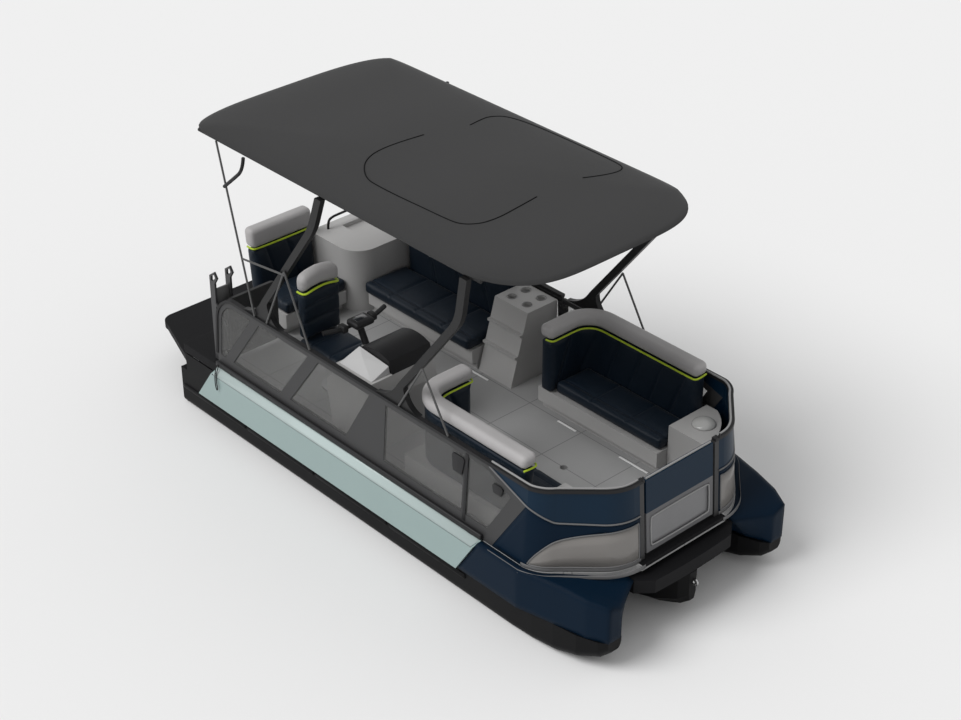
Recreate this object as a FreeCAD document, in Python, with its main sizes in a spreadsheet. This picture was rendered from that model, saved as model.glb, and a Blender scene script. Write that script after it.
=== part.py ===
"""Pontoon boat: three hulls, deck, smoked side fences, lounges, helm, canopy and water-jet drive.

Lengths are in millimetres. +X is the bow, +Y is port, +Z is up. The origin lies under the middle of
the boat, level with the keels it stands on.
"""
import FreeCAD
import Part
import Sketcher
import os
import re
from FreeCAD import Rotation, Vector

# Overall sizes
length_overall = 6000
beam = 2440
beam_depth = 50
deck_thickness = 50
overrun = 5
seat_gap = 0.3
# Side hulls
hull_inset = 70
hull_width = 460
hull_height = 540
hull_spread = 20
chine_inset = 34
chine_height = 64
hull_transom = 740
hull_rise_start = 900
stem_draw = 160
stem_foot = 190
stem_top = 290
bow_inset = 6
platform_seat_height = 380
platform_seat_length = 92
bow_seat_length = 1470
# Centre hull
centre_half = 250
centre_transom = 670
centre_inset = 60
centre_stem_half = 40
centre_foot = 150
centre_top = 420
# Engine
engine_length = 650
engine_half = 180
engine_low = 90
engine_high = 500
engine_back = 1650
# Jet pump and its tunnel
pump_recess_length = 330
pump_recess_half = 140
pump_recess_top = 300
intake_length = 400
intake_half = 110
intake_top = 250
shaft_radius = 12
shaft_z = 165
pin_play = 0.3
pump_half = 115
pump_bore = 80
pump_clearance = 8
outlet_radius = 46
outlet_wall = 8
outlet_length = 140
stator_hub = 26
stator_length = 60
vane_thickness = 8
impeller_length = 110
impeller_hub = 30
blade_thickness = 7
blade_turn_angle = 60
blade_pitch_angle = 35
nozzle_bore = 90
nozzle_wall = 9
nozzle_length = 150
nozzle_overlap = 38
steer_pin_radius = 9
bucket_radius = 150
bucket_wall = 8
bucket_half = 116
bucket_pin = 9
bucket_pivot_back = 70
arm_gap = 6
arm_wall = 7
# Intake grate and ride plate
grate_bar = 10
grate_pitch = 36
grate_depth = 14
plate_thickness = 12
# Deck and its beams
deck_inset = 72
deck_aft = 830
deck_margin = 10
sill_reach = 48
sill_draw = 30
beam_inset = 80
beam_width = 80
beam_one = -2060
beam_two = -1120
beam_three = -180
beam_four = 760
beam_five = 1400
table_setback = 590
table_socket_radius = 32
# Swim platform and boarding ladder
platform_thickness = 60
platform_taper = 240
platform_inset = 40
platform_corner = 130
ladder_y = 430
ladder_half = 170
ladder_tube = 13
ladder_rung = 11
ladder_hinge = 9
ladder_length = 300
ladder_drop = 24
ladder_inset = 45
hinge_half = 20
# Side covers
cover_clearance = 1
cover_low = 285
cover_skin_rise = 15
cover_crease_drop = 67
cover_lip = 7
cover_top_inset = 54
cover_aft_low = 1090
cover_aft_top = 1370
cover_front_rake = 250
# Bow covers
shoulder_gap = 5
shoulder_drop = 47
shoulder_width = 24
bow_cover_inset = 16
bow_turn_setback = 10
bow_mid_reach = 380
bow_mid_draw = 86
bow_tip_draw = 212
bow_tip_lip = 10
bow_cover_reach = 130
# Bow step and bow eye
step_thickness = 120
step_drop = 100
step_back_draw = 55
step_setback = 65
step_front_draw = 130
step_round = 60
eye_thickness = 12
eye_radius = 32
eye_bore = 13
eye_z = 330
eye_reach = 20
# Fence walls: the plan of the outer face at the top of the wall, and how far it leans out below
fence_height = 690
fence_lean = 50
fence_thickness = 26
fence_screen = 6
fence_margin = 3
nose_length = 510
turn_via_reach = 102
turn_via_share = 0.933
corner_reach = 172
corner_share = 0.829
front_corner_draw = 85
front_corner_share = 0.443
nose_via_draw = 24
nose_via_share = 0.301
nose_setback = 270
nose_side_share = 0.15
gate_half = 395
# Side fences in side view
fence_aft_low = 1340
fence_aft_top = 1560
hoop_width = 42
fence_top_setback = 440
tip_setback = 8
tip_drop = 146
fence_low_setback = 348
window_sill = 130
window_head = 45
window_lean = 360
bar_width = 115
window_two_share = 0.269
window_two_end_share = 0.516
window_two_lean = 285
window_three_share = 0.679
joint_setback = 685
joint_half = 22
window_end_setback = 62
window_tip_setback = 167
window_tip_drop = 19
side_gate_width = 330
side_gate_setback = 20
gate_gap = 12
# Bow walls: navy band above, lower panel with a pointed window
band_corner_reach = 172
band_corner_drop = 258
band_depth = 294
post_width = 45
bow_window_reach = 42
bow_window_knee_reach = 158
bow_window_knee_rise = 180
bow_window_head = 46
bow_window_sill = 40
# Top rails
rail_height = 26
rail_width = 44
# Gates and their hinges
gate_thickness = 40
gate_clearance = 40
gate_play = 22
frame_width = 45
hinge_radius = 11
hinge_offset = 5
knuckle_height = 40
hinge_pin = 6
plate_gap = 2
bracket_plate = 9
hinge_low_rise = 60
hinge_high_drop = 80
stern_gate_step = 6
stern_gate_inset = 55
bench_clearance = 80
stern_gate_drop = 60
stern_gate_round = 60
stern_hinge_drop = 190
stern_leaf = 30
# Stern posts and grab loops
post_setback = 88
post_depth = 70
post_inset = 5
post_thickness = 20
loop_tube = 13
loop_rise = 210
loop_reach = 75
loop_drop = 110
loop_spread = 185
# Lounges
seat_base_height = 220
cushion_thickness = 120
back_height = 500
back_round = 45
lounge_inset = 65
cushion_gap = 3
bench_setback = 850
bench_depth = 510
bench_starboard = 400
bench_port = 290
bench_back_rise = 50
back_thickness = 130
back_lean = 70
cushion_lip = 20
toe_space = 60
corner_length = 660
corner_height = 630
corner_cut = 230
tray_depth = 40
tray_margin = 60
lounge_gap = 20
lounge_depth = 600
seat_overhang = 60
back_depth = 150
side_lean = 20
# Cabinet beside the side gate
cabinet_length = 410
cabinet_setback = 20
cabinet_depth = 540
cabinet_rake = 190
cabinet_height = 680
cup_radius = 42
cup_depth = 70
ledge_reach = 30
ledge_height = 22
ledge_one_height = 270
ledge_two_height = 470
# Bow lounges
bow_lounge_length = 1370
tray_length = 380
bow_lounge_depth = 570
cross_back = 170
cross_back_reach = 40
cross_back_rise = 20
tray_setback = 260
tray_rise = 100
tray_width = 450
# Helm
console_length = 630
console_setback = 370
console_inset = 20
console_width = 660
console_height = 670
console_shelf_drop = 170
console_ledge_drop = 160
hood_width = 440
hood_height = 140
hood_crown = 34
column_radius = 30
column_length = 190
column_lean_angle = 28
collar_radius = 42
bar_setback = 120
bar_rise = 90
bar_half = 330
bar_sweep = 60
bar_radius = 14
grip_radius = 19
helm_setback = 420
helm_offset = 210
pedestal_radius = 50
pedestal_foot = 150
pedestal_height = 290
foot_height = 20
helm_seat_half = 215
helm_seat_front = 240
helm_seat_back = 200
helm_back_thickness = 95
helm_seat_thickness = 140
helm_back_height = 660
helm_back_round = 90
# Canopy
canopy_setback = 980
canopy_aft_bow = 85
canopy_front_setback = 1360
canopy_nose = 400
canopy_inset = 25
canopy_clearance = 1520
canopy_hem = 50
canopy_crown = 30
canopy_corner = 115
canopy_nose_share = 0.523
bow_tube = 13
side_spar = 16
spar_inset = 30
# Canopy arms and struts
arm_width = 50
arm_depth = 62
arm_inset = 30
foot_length = 260
arm_foot_rise = 150
bend_reach = 100
aft_arm_setback = 1960
aft_arm_rake = 750
aft_bend_drop = 330
aft_arm_rise = 100
front_arm_setback = 2290
front_arm_rake = 730
front_bend_drop = 420
front_arm_rise = 60
strut_radius = 9
rear_strut_setback = 470
rear_strut_rake = 430
aft_strut_reach = 370
aft_strut_rise = 650
front_strut_reach = 330
front_strut_rise = 510
strut_spread = 290
# Cleats
cleat_length = 180
cleat_height = 30
cleat_width = 24
cleat_setback = 1480
cleat_front_step = 30

# Places and heights that follow from the sizes
follows = {
    # Heights
    "deck_top": "hull_height + hull_spread + beam_depth + deck_thickness",
    "platform_top": "platform_seat_height + platform_thickness",
    "cover_skin_low": "cover_low + cover_skin_rise",
    "cover_top": "deck_top + cover_lip",
    "cover_crease": "cover_top - cover_crease_drop",
    "shoulder_top": "deck_top - shoulder_gap",
    "step_top": "deck_top - step_drop",
    "step_low": "step_top - step_thickness",
    "fence_top": "deck_top + fence_height",
    "tip_z": "fence_top - tip_drop",
    "window_low": "deck_top + window_sill",
    "window_top": "fence_top - window_head",
    "window_tip_z": "tip_z - window_tip_drop",
    "band_corner_z": "fence_top - band_corner_drop",
    "band_low": "fence_top - band_depth",
    "bow_window_low": "deck_top + bow_window_sill",
    "bow_window_knee_z": "bow_window_low + bow_window_knee_rise",
    "bow_window_top": "band_low - bow_window_head",
    "gate_low": "deck_top + gate_clearance",
    "hinge_low": "gate_low + hinge_low_rise",
    "hinge_high": "fence_top - hinge_high_drop",
    "stern_gate_top": "fence_top - stern_gate_drop",
    "stern_hinge_high": "stern_gate_top - stern_hinge_drop",
    "loop_top": "fence_top + loop_rise",
    "seat_base_top": "deck_top + seat_base_height",
    "cushion_top": "seat_base_top + cushion_thickness",
    "back_top": "cushion_top + back_height",
    "bench_back_top": "back_top + bench_back_rise",
    "cross_back_top": "back_top + cross_back_rise",
    "corner_top": "deck_top + corner_height",
    "cabinet_top": "deck_top + cabinet_height",
    "ledge_one_z": "deck_top + ledge_one_height",
    "ledge_two_z": "deck_top + ledge_two_height",
    "tray_top": "cushion_top + tray_rise",
    "console_top": "deck_top + console_height",
    "console_shelf": "console_top - console_shelf_drop",
    "console_ledge": "console_shelf - console_ledge_drop",
    "hood_top": "console_top + hood_height",
    "bar_z": "console_top + bar_rise",
    "pedestal_top": "deck_top + pedestal_height",
    "helm_seat_top": "pedestal_top + helm_seat_thickness",
    "helm_back_top": "helm_seat_top + helm_back_height",
    "canopy_low": "fence_top + canopy_clearance",
    "canopy_top": "canopy_low + canopy_hem + canopy_crown",
    "arm_foot_z": "fence_top + arm_foot_rise",
    "aft_bend_z": "canopy_low - aft_bend_drop",
    "front_bend_z": "canopy_low - front_bend_drop",
    "aft_strut_z": "fence_top + aft_strut_rise",
    "front_strut_z": "fence_top + front_strut_rise",
    # Places across the boat
    "hull_outer": "beam / 2 - hull_inset",
    "stem_outer": "hull_outer - stem_draw",
    "stem_inner": "hull_outer - hull_width + stem_draw",
    "deck_half": "beam / 2 - deck_inset",
    "beam_half": "beam / 2 - beam_inset",
    "cover_inner": "hull_outer + cover_clearance",
    "cover_top_outer": "beam / 2 - cover_top_inset",
    "bow_cover_side": "beam / 2 - bow_cover_inset",
    "bow_mid_side": "bow_cover_side - bow_mid_draw",
    "bow_tip_side": "bow_cover_side - bow_tip_draw",
    "bow_tip_inner": "stem_inner + bow_tip_lip",
    "bow_cover_inner": "hull_outer - hull_width - bow_cover_reach",
    "step_front_half": "bow_cover_inner - step_front_draw",
    "platform_front_half": "hull_outer - platform_inset",
    "platform_aft_half": "platform_front_half - platform_taper",
    "fence_side": "deck_half - fence_lean - fence_margin",
    "turn_via_y": "gate_half + (fence_side - gate_half) * turn_via_share",
    "corner_y": "gate_half + (fence_side - gate_half) * corner_share",
    "front_corner_y": "gate_half + (fence_side - gate_half) * front_corner_share",
    "nose_via_y": "gate_half + (fence_side - gate_half) * nose_via_share",
    "nose_side_y": "gate_half + (fence_side - gate_half) * nose_side_share",
    "sill_half": "nose_side_y - sill_draw",
    "post_outer": "fence_side - post_inset",
    "loop_inner": "post_outer - loop_spread",
    "stern_gate_outer": "fence_side - stern_gate_inset",
    "stern_gate_inner": "bench_starboard + bench_clearance",
    "lounge_outer": "fence_side - lounge_inset",
    "lounge_inner": "lounge_outer - lounge_depth",
    "aft_seat_inner": "lounge_inner - seat_overhang",
    "cabinet_inner": "lounge_outer - cabinet_depth",
    "cabinet_top_inner": "cabinet_inner + cabinet_rake",
    "bow_lounge_inner": "lounge_outer - bow_lounge_depth",
    "bow_seat_inner": "bow_lounge_inner + cushion_lip",
    "cross_back_inner": "bow_lounge_inner - cross_back_reach",
    "tray_inner": "lounge_outer - tray_width",
    "console_outer": "lounge_outer - console_inset",
    "console_inner": "console_outer - console_width",
    "hood_outer": "console_inner + hood_width",
    "helm_y": "console_inner + helm_offset",
    "bar_y": "helm_y",
    "canopy_half": "fence_side - canopy_inset",
    "canopy_nose_half": "canopy_half * canopy_nose_share",
    "spar_y": "canopy_half - spar_inset",
    "arm_y": "fence_side - arm_inset",
    # Places along the boat, from the stern and from the bow
    "canopy_aft": "0 - length_overall / 2 + canopy_setback",
    "canopy_side_front": "length_overall / 2 - canopy_front_setback",
    "canopy_front": "canopy_side_front + canopy_nose",
    "stern_gate_x": "0 - length_overall / 2 + fence_aft_low + stern_gate_step",
    "post_x": "stern_gate_x - post_setback",
    "bench_back_x": "0 - length_overall / 2 + bench_setback",
    "bench_front_x": "bench_back_x + bench_depth",
    "corner_front_x": "bench_back_x + corner_length",
    "cleat_aft_x": "0 - length_overall / 2 + cleat_setback",
    "aft_arm_x": "0 - length_overall / 2 + aft_arm_setback",
    "aft_bend_x": "aft_arm_x + aft_arm_rake",
    "aft_top_x": "aft_bend_x + aft_arm_rise",
    "front_arm_x": "length_overall / 2 - front_arm_setback",
    "front_bend_x": "front_arm_x + front_arm_rake",
    "front_top_x": "front_bend_x + front_arm_rise",
    "aft_strut_x": "aft_arm_x + aft_strut_reach",
    "front_strut_x": "front_arm_x + front_strut_reach",
    "rear_strut_top_x": "canopy_aft + rear_strut_setback",
    "rear_strut_foot_x": "rear_strut_top_x + rear_strut_rake",
    "cover_front_low": "length_overall / 2 - bow_seat_length",
    "cover_front_top": "cover_front_low + cover_front_rake",
    "cleat_front_x": "cover_front_low + cleat_front_step",
    "nose_side_x": "length_overall / 2 - nose_setback",
    "nose_via_x": "nose_side_x - nose_via_draw",
    "front_corner_x": "nose_side_x - front_corner_draw",
    "step_back_x": "nose_side_x - step_back_draw",
    "step_tip": "length_overall / 2 - step_setback",
    "turn_x": "nose_side_x - nose_length",
    "turn_via_x": "turn_x + turn_via_reach",
    "corner_x": "turn_x + corner_reach",
    "bow_turn_x": "turn_x - bow_turn_setback",
    "bow_mid_x": "turn_x + bow_mid_reach",
    "tip_x": "turn_x - tip_setback",
    "fence_front_top": "turn_x - fence_top_setback",
    "fence_front_low": "turn_x - fence_low_setback",
    "band_corner_x": "turn_x + band_corner_reach",
    "bow_window_x": "turn_x + bow_window_reach",
    "bow_window_knee_x": "bow_window_x + bow_window_knee_reach",
    "window_end": "fence_front_low - window_end_setback",
    "window_tip_x": "tip_x - window_tip_setback",
    "joint_x": "turn_x - joint_setback",
    "window_one": "0 - length_overall / 2 + fence_aft_top",
    "window_two": "window_one + (joint_x - window_one) * window_two_share",
    "window_two_end": "window_one + (joint_x - window_one) * window_two_end_share",
    "window_three": "window_one + (joint_x - window_one) * window_three_share",
    "tray_front": "nose_side_x - tray_setback",
    "bow_lounge_front": "tray_front - tray_length",
    "bow_lounge_aft": "bow_lounge_front - bow_lounge_length",
    "table_socket_x": "bow_lounge_front - table_setback",
    "side_gate_front": "bow_lounge_aft - side_gate_setback",
    "side_gate_aft": "side_gate_front - side_gate_width",
    "cabinet_front": "side_gate_aft - cabinet_setback",
    "cabinet_aft": "cabinet_front - cabinet_length",
    "aft_lounge_front": "cabinet_aft - lounge_gap",
    "console_front": "bow_lounge_aft - console_setback",
    "console_aft": "console_front - console_length",
    "bar_x": "console_aft - bar_setback",
    "helm_x": "console_aft - helm_setback",
}

doc = FreeCAD.newDocument("PontoonBoat")
sheet = doc.addObject("Spreadsheet::Sheet", "Sizes")
aliases = [name for name, value in vars().items() if type(value) in (int, float)]
for row, alias in enumerate(aliases, 1):
    sheet.set(f"A{row}", alias)
    sheet.set(f"B{row}", str(vars()[alias]))
    sheet.setAlias(f"B{row}", alias)
doc.recompute()
nodes = []


def bound(text):
    """Point each size named in an expression at its cell, and spell out the places that follow from sizes."""

    def spell(word):
        name = word.group()
        if name in follows:
            return f"({bound(follows[name])})"
        return "Sizes." * (name in aliases) + name

    return re.sub(r"[a-z_]\w*", spell, text)


def mm(text):
    """Work out an expression as a plain number of millimetres."""
    return float(sheet.evalExpression(bound(text)))


def bind(item, **expressions):
    """Bind properties to expressions; double underscores stand for the dots of a path."""
    for path, text in expressions.items():
        item.setExpression(path.replace("__", "."), bound(text))


def node(item, name):
    """Register an object as the sub-part that is saved under this name."""
    item.Label = name
    nodes.append(item)
    return item


def sketch(body, plane, points, offset="0"):
    """Draw a closed outline on one of the body's own planes, every point bound to the sheet.

    A point marked via isn't a corner: it bends the run past it into an arc.
    """
    drawn = body.newObject("Sketcher::SketchObject", "Outline")
    support = [feature for feature in body.Origin.OriginFeatures if feature.Role == plane + "_Plane"]
    drawn.AttachmentSupport = [(support[0], "")]
    drawn.MapMode = "FlatFace"
    spots = [Vector(mm(point[0]), mm(point[1]), 0) for point in points]

    def pin(shape, end, index):
        """Hold one end of a shape at its place in the outline."""
        pairs = (("DistanceX", "x", spots[index].x, 0), ("DistanceY", "y", spots[index].y, 1))
        for kind, letter, number, axis in pairs:
            at = drawn.addConstraint(Sketcher.Constraint(kind, -1, 1, shape, end, number))
            drawn.renameConstraint(at, f"{letter}{index}")
            drawn.setExpression(f"Constraints.{letter}{index}", bound(points[index][axis]))

    count = len(points)
    runs = []
    for index in range(count):
        if len(points[index]) == 3:
            continue
        after = (index + 1) % count
        bent = len(points[after]) == 3
        last = (index + 2) % count if bent else after
        curve = Part.Arc(spots[index], spots[after],
                         spots[last]) if bent else Part.LineSegment(spots[index], spots[last])
        run = drawn.addGeometry(curve)
        apart = [(drawn.getPoint(run, end) - spots[index]).Length for end in (1, 2)]
        runs.append((run, 1 if apart[0] < apart[1] else 2, index, after if bent else None))
    for (run, start, index, via), (following, following_start, _, _) in zip(runs, runs[1:] + runs[:1]):
        drawn.addConstraint(Sketcher.Constraint("Coincident", run, 3 - start, following, following_start))
    for run, start, index, via in runs:
        pin(run, start, index)
        if via is not None:
            mark = drawn.addGeometry(Part.Point(spots[via]), True)
            pin(mark, 1, via)
            drawn.addConstraint(Sketcher.Constraint("PointOnObject", mark, 1, run))
    drawn.setExpression("AttachmentOffset.Base.z", bound(offset))
    return drawn


def prism(plane, low, high, points):
    """Pad an outline from one level to another along the axis that its plane leaves out."""
    body = doc.addObject("PartDesign::Body", "Body")
    outline = sketch(body, plane, points, f"-({high})" if plane == "XZ" else low)
    pad = body.newObject("PartDesign::Pad", "Pad")
    pad.Profile = outline
    bind(pad, Length=f"({high}) - ({low})")
    return body


def loft(plane, stations):
    """Join outlines that stand at several levels with straight facets."""
    body = doc.addObject("PartDesign::Body", "Body")
    outlines = []
    for level, points in stations:
        outlines.append(sketch(body, plane, points, f"-({level})" if plane == "XZ" else level))
    skin = body.newObject("PartDesign::AdditiveLoft", "Loft")
    skin.Profile = outlines[0]
    skin.Sections = outlines[1:]
    skin.Ruled = True
    return body


def box(x, y, z):
    """A box between two levels along each axis."""
    made = doc.addObject("Part::Box", "Box")
    bind(made, Length=f"({x[1]}) - ({x[0]})", Width=f"({y[1]}) - ({y[0]})", Height=f"({z[1]}) - ({z[0]})")
    bind(made, Placement__Base__x=x[0], Placement__Base__y=y[0], Placement__Base__z=z[0])
    return made


TURNS = {"X": Rotation(Vector(0, 1, 0), 90), "Y": Rotation(Vector(1, 0, 0), -90), "Z": Rotation()}


def cylinder(axis, start, length, radius):
    """A cylinder that runs along one of the axes from a point."""
    made = doc.addObject("Part::Cylinder", "Cylinder")
    made.Placement.Rotation = TURNS[axis]
    bind(made, Radius=radius, Height=length)
    bind(made, Placement__Base__x=start[0], Placement__Base__y=start[1], Placement__Base__z=start[2])
    return made


def cone(axis, start, length, radius_low, radius_high):
    """A cone that runs along one of the axes from a point."""
    made = doc.addObject("Part::Cone", "Cone")
    made.Placement.Rotation = TURNS[axis]
    bind(made, Radius1=radius_low, Radius2=radius_high, Height=length)
    bind(made, Placement__Base__x=start[0], Placement__Base__y=start[1], Placement__Base__z=start[2])
    return made


def tube(points, radius):
    """A round tube along straight runs, with a ball at each inner corner."""
    places = [Vector(*(mm(text) for text in point)) for point in points]
    runs = []
    for start, end in zip(places, places[1:]):
        run = doc.addObject("Part::Cylinder", "Run")
        run.Placement = FreeCAD.Placement(start, Rotation(Vector(0, 0, 1), end - start))
        run.Height = (end - start).Length
        bind(run, Radius=radius)
        runs.append(run)
    for place in places[1:-1]:
        ball = doc.addObject("Part::Sphere", "Corner")
        ball.Placement.Base = place
        bind(ball, Radius=radius)
        runs.append(ball)
    return fuse(runs) if len(runs) > 1 else runs[0]


def fuse(items):
    """Join solids that touch or overlap into one."""
    joined = doc.addObject("Part::MultiFuse", "Fuse")
    joined.Shapes = items
    joined.Refine = True
    return joined


def group(items):
    """Keep solids that lie apart as one sub-part."""
    kept = doc.addObject("Part::Compound", "Group")
    kept.Links = items
    return kept


def cut(base, tools):
    """Take the tools out of the base."""
    for tool in tools:
        taken = doc.addObject("Part::Cut", "Cut")
        taken.Base = base
        taken.Tool = tool
        base = taken
    return base


def common(items):
    """Keep what all the solids share."""
    shared = doc.addObject("Part::MultiCommon", "Common")
    shared.Shapes = items
    return shared


def mirrored(item):
    """The same solid on the other side of the boat's centre plane."""
    twin = doc.addObject("Part::Mirroring", "Mirror")
    twin.Source = item
    twin.Normal = Vector(0, 1, 0)
    return twin


# The stern end and the bow end lie at half the length from the origin.
stern = "(0 - length_overall / 2)"
bow = "(length_overall / 2)"

# Side hulls: moulded floats, flat underneath, with round chines and a blunt upright stem.
hull_aft = f"({stern} + hull_transom)"
hull_front = f"({bow} - bow_inset)"
hull_top = "(hull_height + hull_spread)"
rise_shares = [(0, 0, 0), (0.26, 0.03, 0.04), (0.5, 0.12, 0.14), (0.74, 0.32, 0.4), (0.93, 0.7, 0.72),
               (1, 1, 1)]


def hull_outline(taper_share, rise_share):
    """A hull's section, looking at it from the bow: narrower and higher towards the stem."""
    outer = f"(hull_outer - (hull_outer - stem_outer) * {taper_share})"
    inner = f"(hull_outer - hull_width + (stem_inner - hull_outer + hull_width) * {taper_share})"
    foot = f"(stem_foot * {rise_share})"
    return [(f"-{inner} - chine_inset", foot), (f"-{outer} + chine_inset", foot),
            (f"-{outer} + chine_inset * 0.27", f"{foot} + chine_height * 0.44", "via"),
            (f"-{outer}", f"{foot} + chine_height"), (f"-{outer}", hull_top),
            (f"-{inner}", hull_top), (f"-{inner}", f"{foot} + chine_height"),
            (f"-{inner} - chine_inset * 0.27", f"{foot} + chine_height * 0.44", "via")]


stations = [(hull_aft, hull_outline(0, 0))]
for along_share, taper_share, rise_share in rise_shares:
    place = f"{hull_front} - hull_rise_start * (1 - {along_share})"
    stations.append((place, hull_outline(taper_share, rise_share)))
hull_blank = loft("YZ", stations)
aft_seat = box((f"{hull_aft} - overrun", f"{hull_aft} + platform_seat_length"),
               ("-hull_outer - overrun", "-hull_outer + hull_width + overrun"),
               ("platform_seat_height", f"{hull_top} + overrun"))
bow_seat = box((f"{bow} - bow_seat_length", f"{bow} + overrun"),
               ("-hull_outer - overrun", "-stem_inner + hull_width"), ("stem_top", f"{hull_top} + overrun"))
starboard_hull = node(cut(hull_blank, [aft_seat, bow_seat]), "starboard_hull")
node(mirrored(starboard_hull), "port_hull")

# Centre hull: a deeper float that carries the engine and the jet pump, with a sharp stem.
centre_aft = f"({stern} + centre_transom)"
centre_front = f"({bow} - centre_inset)"


def centre_outline(taper_share, rise_share):
    """The centre hull's section."""
    half = f"(centre_half - (centre_half - centre_stem_half) * {taper_share})"
    foot = f"(centre_foot * {rise_share})"
    top = f"({hull_top} - ({hull_top} - centre_top) * {rise_share})"
    keel = f"({half} * 0.6)"
    return [(keel, foot), (half, f"{foot} + chine_height"), (half, top),
            (f"-{half}", top), (f"-{half}", f"{foot} + chine_height"), (f"-{keel}", foot)]


stations = [(centre_aft, centre_outline(0, 0))]
for along_share, taper_share, rise_share in rise_shares:
    place = f"{centre_front} - hull_rise_start * (1 - {along_share})"
    stations.append((place, centre_outline(taper_share, rise_share)))
centre_blank = loft("YZ", stations)
engine_aft = f"({stern} + engine_back)"
engine_front = f"({engine_aft} + engine_length)"
engine_bay = box((f"{engine_aft} - overrun", f"{engine_front} + overrun"),
                 ("-engine_half - overrun", "engine_half + overrun"), ("engine_low", f"{hull_top} + overrun"))
recess_front = f"({centre_aft} + pump_recess_length)"
pump_recess = box((f"{centre_aft} - overrun", recess_front), ("-pump_recess_half", "pump_recess_half"),
                  ("-overrun", "pump_recess_top"))
platform_step = box((f"{centre_aft} - overrun", f"{hull_aft} + platform_seat_length"),
                    ("-centre_half - overrun", "centre_half + overrun"),
                    ("platform_seat_height", f"{hull_top} + overrun"))
intake_front = f"({recess_front} + intake_length)"
intake = prism("XZ", "-intake_half", "intake_half",
               [(f"{recess_front} - overrun", "-overrun"), (intake_front, "-overrun"), (intake_front, "0"),
                (f"{recess_front} - overrun", "intake_top")])
shaft_bore = cylinder("X", (recess_front, "0", "shaft_z"), f"{intake_front} - {recess_front}",
                      "shaft_radius + pin_play")
step_seat = box(("step_back_x - overrun", bow), ("-centre_half - overrun", "centre_half + overrun"),
                ("step_low - seat_gap", f"{hull_top} + overrun"))
node(cut(centre_blank, [engine_bay, platform_step, step_seat, pump_recess, intake, shaft_bore]),
     "centre_hull")
node(box((engine_aft, engine_front), ("-engine_half", "engine_half"),
         ("engine_low + seat_gap", "engine_high")),
     "engine_block")

# Jet pump: a housing with stator vanes and a tapered outlet, an impeller on its shaft, a steered nozzle
# on two upright pins, and a reverse bucket that drops behind it.
pump_back = f"({centre_aft} + pump_clearance * 2)"
outlet_end = f"({pump_back} - outlet_length)"
housing = cut(box((pump_back, recess_front), ("-pump_half", "pump_half"),
                  ("shaft_z - pump_half", "shaft_z + pump_half")),
              [cylinder("X", (f"{pump_back} - overrun", "0", "shaft_z"),
                        f"{recess_front} - {pump_back} + overrun * 2", "pump_bore")])
outlet = cut(cone("X", (outlet_end, "0", "shaft_z"), "outlet_length", "outlet_radius + outlet_wall",
                  "pump_bore + outlet_wall"),
             [cone("X", (outlet_end, "0", "shaft_z"), "outlet_length", "outlet_radius", "pump_bore")])
hub_end = f"({pump_back} + stator_length)"
stator_hub = cylinder("X", (pump_back, "0", "shaft_z"), "stator_length", "stator_hub")
vanes = [box((pump_back, hub_end), ("-pump_bore - overrun", "pump_bore + overrun"),
             ("shaft_z - vane_thickness / 2", "shaft_z + vane_thickness / 2")),
         box((pump_back, hub_end), ("-vane_thickness / 2", "vane_thickness / 2"),
             ("shaft_z - pump_bore - overrun", "shaft_z + pump_bore + overrun"))]
steer_x = f"({outlet_end} + nozzle_overlap / 2)"
pin_reach = "(nozzle_bore + nozzle_wall + overrun)"
steer_pin = cylinder("Z", (steer_x, "0", f"shaft_z - {pin_reach}"), f"{pin_reach} * 2", "steer_pin_radius")
water_way = cylinder("X", (f"{outlet_end} - overrun", "0", "shaft_z"), "outlet_length", "outlet_radius")
hub_bore = cylinder("X", (pump_back, "0", "shaft_z"), "stator_length + overrun", "shaft_radius + pin_play")
node(fuse([housing, cut(fuse([outlet, steer_pin]), [water_way]),
           cut(fuse([stator_hub] + vanes), [hub_bore])]),
     "jet_pump")

impeller_aft = f"({hub_end} + pump_clearance)"
blade_disc = cylinder("X", (impeller_aft, "0", "shaft_z"), "impeller_length", "pump_bore - pump_clearance")
blades = []
for step in (0, 1, 2):
    blade = doc.addObject("Part::Box", "Blade")
    bind(blade, Length="impeller_length * 2", Width="blade_thickness", Height="pump_bore * 2")
    turn = Rotation(Vector(1, 0, 0), mm("blade_turn_angle") * step)
    pitch = turn.multiply(Rotation(Vector(0, 0, 1), mm("blade_pitch_angle")))
    corner = pitch.multVec(Vector(-mm("impeller_length"), -mm("blade_thickness") / 2, 0))
    centre = Vector(mm(impeller_aft) + mm("impeller_length") / 2, 0, mm("shaft_z"))
    blade.Placement = FreeCAD.Placement(centre + corner, pitch)
    blades.append(common([blade, blade_disc]))
impeller_hub = cylinder("X", (impeller_aft, "0", "shaft_z"), "impeller_length", "impeller_hub")
shaft = cylinder("X", (f"{pump_back} + overrun", "0", "shaft_z"),
                 f"{intake_front} - {pump_back} - intake_length / 4", "shaft_radius")
node(fuse([impeller_hub, shaft] + blades), "impeller")

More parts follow.
